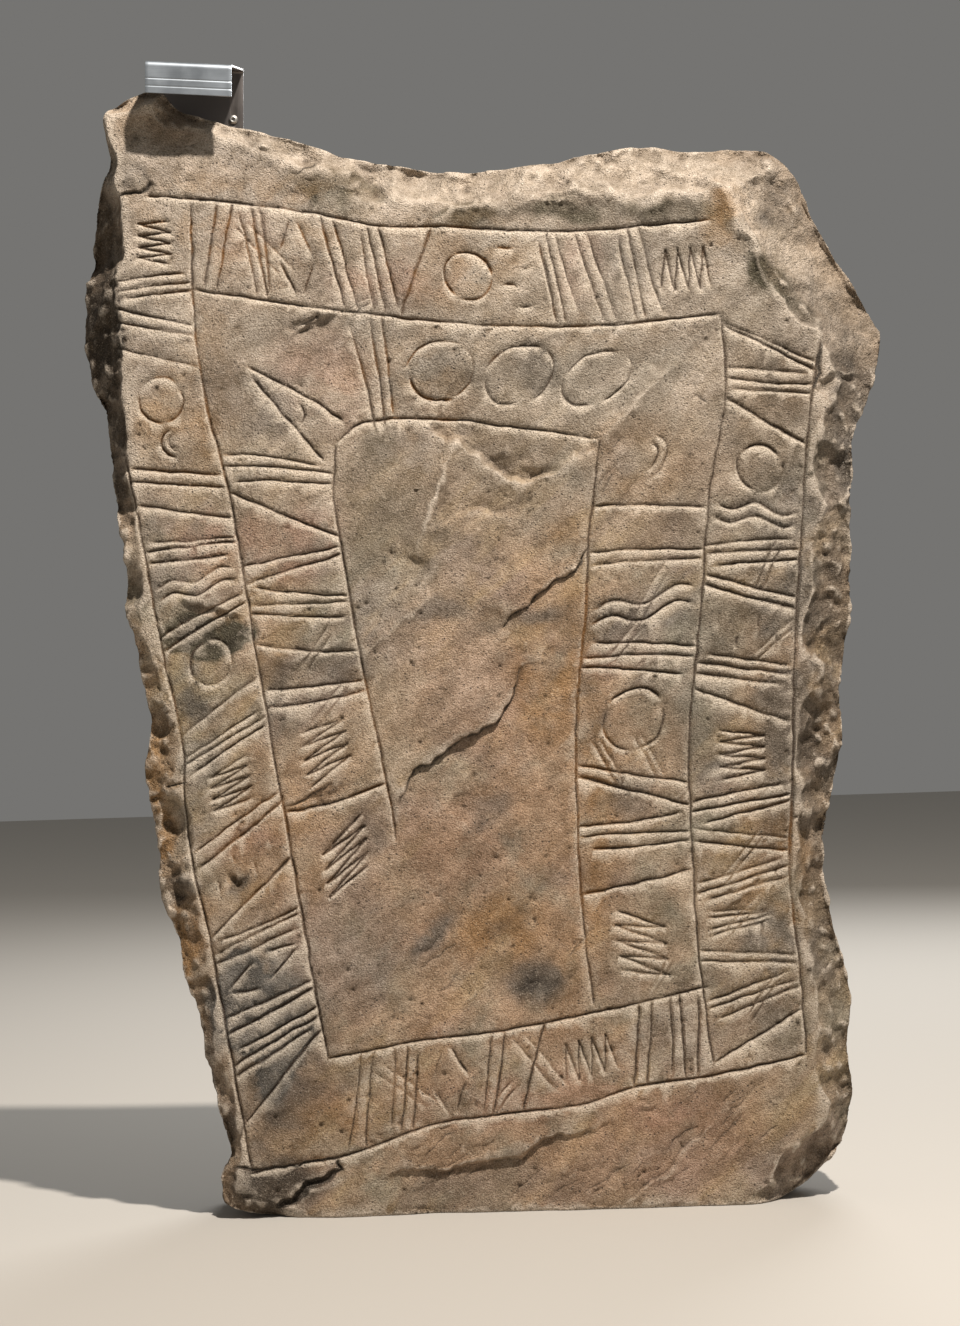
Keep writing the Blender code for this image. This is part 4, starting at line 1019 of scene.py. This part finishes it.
def makeSandstone():
    # fine-grained sandstone, pecked flat, cut and weathered: matt, sandy, never one colour for long
    material, tree, shader = newMaterial("weatheredSandstone")
    place = addNode(tree, "ShaderNodeTexCoord", out="Object")
    bedded = addNode(tree, "ShaderNodeMapping", {
        "Vector": place, "Rotation": (0, math.radians(-42), 0), "Scale": (1, 1, 0.32)},
        vector_type="TEXTURE")
    share = {"level": addNode(tree, "ShaderNodeSeparateXYZ", {"Vector": place}, out="Z")}
    for name in ("cut", "lip", "crack", "broken", "flank", "hollow", *stains):
        share[name] = addNode(tree, "ShaderNodeAttribute", out="Fac", attribute_name=name)

    # patterns: noise with cells of so many millimetres, its detail and roughness, and the values at which
    # its share is nothing and full
    patterns = {
        "drift": (place, 130, 3, 0.55, 0.36, 0.64), "streak": (bedded, 80, 3, 0.5, 0.44, 0.66),
        "mauve": (place, 105, 3, 0.5, 0.50, 0.66), "straw": (bedded, 115, 3, 0.5, 0.52, 0.68),
        "frayed": (place, 56, 3, 0.5, 0.34, 0.56), "smoke": (bedded, 64, 2, 0.5, 0.64, 0.36),
        "rockTone": (place, 70, 4, 0.55, 0.34, 0.66), "rockMottle": (place, 22, 3, 0.55, 0.62, 0.36),
        "mottle": (place, 13, 4, 0.6, 0.64, 0.34), "rusty": (place, 40, 3, 0.5, 0.38, 0.56),
        "holed": (place, 26, 2, 0.5, 0.46, 0.60), "dressed": (place, 34, 3, 0.5, 0.40, 0.58),
        "grain": (place, 1.5, 2, 0.6, 0.56, 0.34), "sand": (place, 4, 2, 0.6, 0, 1),
        "dimple": (place, 11, 2, 0.5, 0, 1), "crumb": (place, 8, 4, 0.65, 0, 1),
    }
    raw = {}
    for name, (vector, size, detail, roughness, low, high) in patterns.items():
        raw[name] = addNode(tree, "ShaderNodeTexNoise", {
            "Vector": vector, "Scale": 1000 / size, "Detail": detail, "Roughness": roughness,
            "Distortion": 0.3})
        share[name] = addNode(tree, "ShaderNodeMapRange", {0: raw[name], 1: low, 2: high},
                              interpolation_type="SMOOTHSTEP")

    # parts of those: what they come from and the values at which their share is nothing and full
    parts = {
        "upper": (share["level"], 0.62, 0.95), "deepCut": (share["cut"], 0.35, 0.95),
        "anyCut": (share["cut"], 0.15, 0.7), "openCrack": (share["crack"], 0.1, 0.8),
        # hollows darkened and raised edges paled: partly dirt and wear, partly painted shade and highlight
        "hollowDirtAndShade": (share["hollow"], 0.54, 0.85), "edgeWearAndHighlight": (share["hollow"], 0.46, 0.2),
        "glint": (raw["grain"], 0.58, 0.72),
    }
    # round marks, one in each cell of so many millimetres, from their edge to their middle
    for name, size, edge, middle in (("pinhole", 6.0, 0.20, 0.10), ("peck", 3.8, 0.34, 0.08)):
        cells = addNode(tree, "ShaderNodeTexVoronoi", {"Vector": place, "Scale": 1000 / size})
        parts[name] = (cells, edge, middle)
    for name, (source, low, high) in parts.items():
        share[name] = addNode(tree, "ShaderNodeMapRange", {0: source, 1: low, 2: high},
                              interpolation_type="SMOOTHSTEP")

    # shares that hold only where two of them meet; the stains fray at their edges
    share["fray"] = addNode(tree, "ShaderNodeMapRange", {0: share["frayed"], 3: 0.25})
    meetings = [(name, name, "fray") for name in stains]
    meetings += [("halo", "rust", "rusty"), ("rustLine", "halo", "anyCut"), ("pinhole", "pinhole", "holed"),
                 ("peck", "peck", "dressed")]
    for name, one, two in meetings:
        share[name] = addNode(tree, "ShaderNodeMath", {0: share[one], 1: share[two]}, operation="MULTIPLY")

    # the colour, laid on from the bed of the stone outwards: where, how strongly, what, and how
    rock = [("rockTone", 1.0, "bda78f", "MIX"), ("rockMottle", 1.0, "b9b5ae", "MULTIPLY")]
    layers = [
        ("drift", 1.0, "bda78f", "MIX"),                # grey-green to tan, in drifts a hand wide
        ("streak", 0.36, "b4967a", "MIX"),              # warm veils along the bedding
        ("mauve", 0.45, "988a87", "MIX"), ("straw", 0.42, "c2a676", "MIX"),
        ("upper", 0.8, "c2b6a9", "MIX"),                # paler and greyer above
        ("glow", 0.75, "c49e7e", "MIX"), ("blush", 0.7, "b4907c", "MIX"), ("bright", 0.9, "e6d9c9", "MIX"),
        ("ochre", 0.72, "a87f4b", "MIX"), ("green", 0.85, "5f5947", "MIX"), ("slate", 0.8, "67635e", "MIX"),
        # near-black patches, on the left flank painted shade
        ("darkPatches", 0.9, "3a332b", "MIX"),
        ("broken", 0.25, "rock", "MIX"), ("flank", 0.45, "rock", "MIX"),    # rawer where the skin is gone
        ("smoke", 1.0, "dedcd9", "MULTIPLY"), ("mottle", 1.0, "e2e0dc", "MULTIPLY"),
        ("hollowDirtAndShade", 0.58, "4e4031", "MIX"), ("edgeWearAndHighlight", 0.66, "dccfbf", "MIX"),  # darker in hollows and paler on raised edges: partly dirt and rubbing, partly painted shade and painted highlight
        ("halo", 0.28, "ab8044", "MIX"),                # rust has bled beside the cuts
        ("lip", 0.62, "ecdfcd", "MIX"),                 # painted highlight on the lower lips of the cuts
        ("deepCut", 0.72, "3f2d1d", "MIX"), ("rustLine", 0.7, "96672f", "MIX"),
        ("openCrack", 0.8, "3a332b", "MIX"),
        # sand: its grains are 0.3 mm, drawn coarser
        ("grain", 1.0, "cbc6be", "MULTIPLY"), ("glint", 0.28, "e6dac6", "MIX"),
        ("pinhole", 0.7, "3a332b", "MIX"),              # dark pinholes, 1 mm wide
    ]
    tones = {}
    for made, base, rows in (("rock", "836c50", rock), ("stone", "a39c8b", layers)):
        colour = hexColour(base)
        for where, strength, tint, blend in rows:
            amount = addNode(tree, "ShaderNodeMath", {0: share[where], 1: strength}, operation="MULTIPLY")
            colour = addNode(tree, "ShaderNodeMix", {
                0: amount, 6: colour, 7: tones[tint] if tint in tones else hexColour(tint)},
                out=2, data_type="RGBA", blend_type=blend)
        tones[made] = colour
    tree.links.new(tones["stone"], shader.inputs["Base Color"])

    # matt, a little smoother on the dark grey patches
    sheen = addNode(tree, "ShaderNodeMapRange", {0: share["mottle"], 3: 0.74, 4: 0.92})
    sheen = addNode(tree, "ShaderNodeMath", {0: share["slate"], 1: -0.12, 2: sheen},
                    operation="MULTIPLY_ADD")
    tree.links.new(sheen, shader.inputs["Roughness"])
    shader.inputs["IOR"].default_value = 1.5
    shader.inputs["Specular IOR Level"].default_value = 0.4

    # sand grains, dimples, pinholes and pecking stand in the light; raw breaks are crumbly
    crumbly = addNode(tree, "ShaderNodeMath", {0: share["broken"], 1: raw["crumb"]}, operation="MULTIPLY")
    height = 0.0
    for value, weight in ((raw["grain"], 1.9), (raw["sand"], 1.4), (raw["dimple"], 0.7),
                          (share["pinhole"], -1.6), (share["peck"], -0.9), (crumbly, 3.6)):
        height = addNode(tree, "ShaderNodeMath", {0: value, 1: weight, 2: height}, operation="MULTIPLY_ADD")
    bump = addNode(tree, "ShaderNodeBump", {"Strength": 1.0, "Distance": 1.2 * mm, "Height": height})
    tree.links.new(bump, shader.inputs["Normal"])
    return material


hook = {
    # lean turns it clockwise and fall shears it down to the right, both in degrees
    "width": 92, "sheet": 2.5, "lipHeight": 34, "bendRadius": 5, "top": (-318, -88, 1235.5),
    "lean": 1.8, "fall": 2.7, "rise": 27, "plateHeight": 150, "plateFront": 70.3,
    "boltInset": 11, "boltLevel": -30.6, "boltHole": 6.6, "edge": 0.35,
    "scoreLevels": (18.5, 26.5), "scoreDepth": 0.35, "scoreHalf": 0.6, "lipRows": 60,
    "brownFrom": (4, 8),              # behind the lip's front the steel is painted brown-grey over this way: partly tarnish, partly painted shade
}
# diameters, heights, and the gap between a screw's head and the plate
bolt = {"shank": 6.0, "head": 10.5, "headHeight": 3.4, "socket": 4.0, "socketDepth": 2.0, "gap": 0.3}


def hookPlace():
    # the hook is made with the middle of its lip's top at the origin, then leaned and put in place
    return (Matrix.Translation(Vector(hook["top"]) * mm)
            @ Matrix.Rotation(math.radians(hook["lean"]), 4, "Y"))


def boltSpot(side, gap=0):
    # where a screw goes through the back plate's front, before the hook is put in place
    x = side * (hook["width"] / 2 - hook["boltInset"])
    return Vector((x, hook["plateFront"] - hook["top"][1] - gap,
                   hook["boltLevel"] - x * math.tan(math.radians(hook["fall"])))) * mm


def stripMiddle(path, radius, steps):
    # the middle line of the bent strip: each corner is a quadratic curve between its two tangent points
    middle = [Vector(path[0])]
    for before, corner, after in zip(path[:-2], path[1:-1], path[2:]):
        before, corner, after = Vector(before), Vector(corner), Vector(after)
        arrive, leave = (corner - before).normalized(), (after - corner).normalized()
        reach = radius * math.tan(arrive.angle(leave) / 2)
        start, end = corner - arrive * reach, corner + leave * reach
        for t in np.linspace(0, 1, steps + 1):
            middle.append(start * (1 - t) ** 2 + corner * 2 * t * (1 - t) + end * t ** 2)
    middle.append(Vector(path[-1]))
    return np.array(middle)


def buildHook(material):
    # the strip's section is its middle line moved half the sheet each way; it runs straight across
    half = hook["sheet"] / 2
    back = hook["plateFront"] + half - hook["top"][1]
    corners = [(half, -hook["lipHeight"]), (half, -half), (back, hook["rise"] - half),
               (back, hook["rise"] - hook["plateHeight"])]
    middle = stripMiddle(corners, hook["bendRadius"], 14)
    # the lip has many rows, for two shallow folding scores that run across its front
    rows = hook["lipRows"]
    lip = np.column_stack([np.full(rows, half), np.linspace(-hook["lipHeight"], middle[1][1], rows)])
    middle = np.vstack([lip[:-1], middle[1:]])
    ahead = np.vstack([middle[1] - middle[0], middle[2:] - middle[:-2], middle[-1] - middle[-2]])
    ahead /= np.linalg.norm(ahead, axis=1)[:, None]
    normal = np.column_stack([-ahead[:, 1], ahead[:, 0]])
    scored = sum(np.exp(-((middle[:, 1] + at) / hook["scoreHalf"]) ** 2) for at in hook["scoreLevels"])
    scored *= middle[:, 0] < half + 0.01
    outer = middle + normal * (half - hook["scoreDepth"] * scored)[:, None]
    inner = middle - normal * half
    section = np.vstack([outer, inner[::-1]])
    print("hook: section of", len(section), "points")
    n = len(section)
    across = np.linspace(-hook["width"] / 2, hook["width"] / 2, 24)
    fall = math.tan(math.radians(hook["fall"]))
    points = np.vstack([np.column_stack([np.full(n, x), section[:, 0], section[:, 1] - x * fall])
                        for x in across])
    ids = np.arange(len(points)).reshape(len(across), n)
    quads = [quadNet(np.hstack([ids, ids[:, :1]]))]
    # both side edges: the section's outer row joined to its inner row
    for row, way in ((ids[0], 1), (ids[-1], -1)):
        quads.append(quadNet(np.stack([row[:n // 2], row[:n // 2 - 1:-1]])[::way]))
    mesh = meshFromArrays("wallHook", points * mm, np.vstack(quads))
    made = addObject("wallHook", mesh, material)
    closeUp(mesh)
    cutters = []
    hole = hook["boltHole"] / 2
    for side in (-1, 1):
        cutter = lathe("holeCutter", [(0, -12), (hole, -12), (hole, 12), (0, 12)], 32)
        cutter.data.transform(Matrix.Translation(boltSpot(side)))
        drilled = made.modifiers.new("hole", "BOOLEAN")
        drilled.operation, drilled.object, drilled.solver = "DIFFERENCE", cutter, "EXACT"
        cutters.append(cutter)
    soft = made.modifiers.new("softEdge", "BEVEL")
    soft.width, soft.segments, soft.limit_method = hook["edge"] * mm, 2, "ANGLE"
    soft.angle_limit = math.radians(50)
    finished(made)
    for cutter in cutters:
        bpy.data.objects.remove(cutter)
    made.data.transform(hookPlace())
    made.data.shade_smooth()
    made.data.set_sharp_from_angle(angle=math.radians(35))
    return made


def closeUp(mesh):
    # turns every face of a closed mesh to point out
    shell = bmesh.new()
    shell.from_mesh(mesh)
    bmesh.ops.remove_doubles(shell, verts=shell.verts, dist=1e-7)
    bmesh.ops.recalc_face_normals(shell, faces=shell.faces)
    shell.to_mesh(mesh)
    shell.free()


def lathe(name, profile, sides, turn=None, material=None):
    # a profile of (radius, out) turned round the y axis; its first and last radius are nothing
    angles = np.arange(sides) * 2 * math.pi / sides
    rings = []
    for k, (radius, out) in enumerate(profile[1:-1]):
        reach = radius * (np.ones(sides) if turn is None else turn(k, angles))
        rings.append(np.column_stack([reach * np.cos(angles), np.full(sides, -out),
                                      reach * np.sin(angles)]))
    points = np.vstack(rings + [[(0, -profile[0][1], 0)], [(0, -profile[-1][1], 0)]])
    ids = np.arange(len(rings) * sides).reshape(len(rings), sides)
    ids = np.hstack([ids, ids[:, :1]])
    first, last = len(points) - 2, len(points) - 1
    faces = quadNet(ids).tolist()
    faces += [(first, a, b) for a, b in zip(ids[0][:-1], ids[0][1:])]
    faces += [(last, b, a) for a, b in zip(ids[-1][:-1], ids[-1][1:])]
    mesh = bpy.data.meshes.new(name)
    mesh.from_pydata((points * mm).tolist(), [], faces)
    closeUp(mesh)
    return addObject(name, mesh, material)


def buildBolt(name, side, material):
    # a button head: shank, flat under the head, dome that follows an ellipse, flat ring, six-sided socket
    head, high = bolt["head"] / 2, bolt["headHeight"]
    dome = [(head * math.cos(a), high * math.sin(a)) for a in np.radians(np.linspace(0, 55, 9))]
    top = dome[-1][1]
    shank, socket = bolt["shank"] / 2, bolt["socket"] / 2
    start = -hook["sheet"] - bolt["gap"]
    profile = [(0, start), (shank - 0.3, start), (shank, start + 0.3), (shank, -0.001), (head - 0.2, 0.0)]
    profile += dome + [(socket + 0.35, top + 0.02), (socket + 0.05, top - 0.1)]
    socketRow = len(profile) - 1
    profile += [(socket, top - 0.3), (socket, top - bolt["socketDepth"]), (0, top - bolt["socketDepth"])]

    def sixSided(k, angles):
        # the socket's radius follows a hexagon, whose half width over flats is the socket's radius
        if k < socketRow:
            return np.ones(len(angles))
        part = (angles + math.pi / 6) % (math.pi / 3) - math.pi / 6
        return 1 / np.cos(part)
    made = lathe(name, profile, 48, sixSided, material)
    made.data.transform(hookPlace() @ Matrix.Translation(boltSpot(side, bolt["gap"])))
    made.data.shade_smooth()
    made.data.set_sharp_from_angle(angle=math.radians(30))
    return made


def makeSteel(name, tint, roughness, lined):
    # satin steel: fine rolled lines along the sheet's length, or an even grain where it was turned; faint
    # smears, a softened shine
    material, tree, shader = newMaterial(name)
    place = addNode(tree, "ShaderNodeTexCoord", out="Object")
    drawn = addNode(tree, "ShaderNodeMapping", {
        "Vector": place, "Rotation": (0, math.radians(hook["lean"] + hook["fall"]), 0),
        "Scale": (0.02 if lined else 1, 1, 1)})
    lines = addNode(tree, "ShaderNodeTexNoise", {"Vector": drawn, "Scale": 1000 / 0.9, "Detail": 3,
                                                 "Roughness": 0.7})
    smear = addNode(tree, "ShaderNodeTexNoise", {"Vector": place, "Scale": 1000 / 24, "Detail": 3})
    colour = addNode(tree, "ShaderNodeMix", {0: lines, 6: hexColour(tint[0]), 7: hexColour(tint[1])},
                     out=2, data_type="RGBA")
    if lined:
        # behind the lip the sheet is painted brown-grey: partly tarnish, partly painted shade under the lip
        # and top plate
        inward = addNode(tree, "ShaderNodeSeparateXYZ", {"Vector": place}, out="Y")
        start, end = [(hook["top"][1] + way) * mm for way in hook["brownFrom"]]
        behind = addNode(tree, "ShaderNodeMapRange", {0: inward, 1: start, 2: end, 3: 0, 4: 0.85})
        colour = addNode(tree, "ShaderNodeMix", {0: behind, 6: colour, 7: hexColour("79716c")},
                         out=2, data_type="RGBA")
    tree.links.new(colour, shader.inputs["Base Color"])
    shader.inputs["Metallic"].default_value = 1.0
    rough = addNode(tree, "ShaderNodeMapRange", {0: smear, 1: 0.3, 2: 0.7, 3: roughness - 0.05,
                                                 4: roughness + 0.08})
    tree.links.new(rough, shader.inputs["Roughness"])
    bump = addNode(tree, "ShaderNodeBump", {"Strength": 0.25, "Distance": 0.05 * mm, "Height": lines})
    tree.links.new(bump, shader.inputs["Normal"])
    return material


studio = {
    # level and straight on: how far the camera stands from the target, and the height that it sees there
    "distance": 3.2, "viewHeight": 1.41882, "target": (-0.028, -0.070, 0.587), "roll": -1.82,
    # round lights: place, aim, size, power, tint
    "lights": {
        "keyLight": ((0.76, -1.57, 3.63), (-0.05, -0.08, 0.65), 0.15, 213, "fff6ec"),
        "backLight": ((0.9, 2.9, 2.3), (0, 0, 0.6), 1.6, 70, "ffffff"),
    },
    "fill": 0.225, "floorHalf": 9.0, "floorGap": 0.0005,
}


def addLight(name, place, aim, size, power, tint):
    # a round lamp that faces its aim
    light = bpy.data.lights.new(name, "AREA")
    light.shape, light.size, light.energy, light.color = "DISK", size, power, hexColour(tint)[:3]
    made = addObject(name, light)
    made.location = place
    made.rotation_euler = (Vector(place) - Vector(aim)).to_track_quat("Z", "Y").to_euler()


def buildStudio():
    # backdrop paper: even and matt, with no shine of its own
    material, _, shader = newMaterial("paperFloor")
    shader.inputs["Base Color"].default_value = hexColour("b6b2ab")
    shader.inputs["Roughness"].default_value = 0.9
    floorMesh = bpy.data.meshes.new("studioFloor")
    half = studio["floorHalf"]
    floorMesh.from_pydata([(-half, -half, 0), (half, -half, 0), (half, half, 0), (-half, half, 0)],
                          [], [(0, 1, 2, 3)])
    floor = addObject("studioFloor", floorMesh, material)
    floor.location.z = -studio["floorGap"]

    world = bpy.data.worlds.new("studio")
    bpy.context.scene.world = world
    world.use_nodes = True
    background = world.node_tree.nodes["Background"]
    background.inputs["Color"].default_value = hexColour("e6e4e0")
    background.inputs["Strength"].default_value = studio["fill"]
    for name, row in studio["lights"].items():
        addLight(name, *row)

    camera = bpy.data.cameras.new("camera")
    camera.sensor_width = 36
    camera.lens = camera.sensor_width * studio["distance"] / studio["viewHeight"]
    cameraObject = addObject("camera", camera)
    turn = Matrix.Rotation(math.pi / 2, 4, "X") @ Matrix.Rotation(math.radians(studio["roll"]), 4, "Z")
    away = turn.to_3x3() @ Vector((0, 0, studio["distance"]))
    cameraObject.matrix_world = Matrix.Translation(Vector(studio["target"]) + away) @ turn
    bpy.context.scene.camera = cameraObject
    bpy.context.scene.view_settings.view_transform = "Standard"


buildStudio()
sandstone = makeSandstone()
steel = makeSteel("satinSteelSheet", ("97a0a9", "b4bbc2"), 0.45, True)
screwSteel = makeSteel("turnedSteel", ("b6b5b2", "cfcdc9"), 0.46, False)

stone = buildStele(sandstone)
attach(stone, "root")
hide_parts("stele")

wallHook = buildHook(steel)
boltRight = buildBolt("boltRight", 1, screwSteel)
boltLeft = buildBolt("boltLeft", -1, screwSteel)
for piece, node in ((wallHook, "wall_hook"), (boltRight, "bolt_right"), (boltLeft, "bolt_left")):
    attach(piece, "root")
    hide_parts(node)
print("pieces placed")
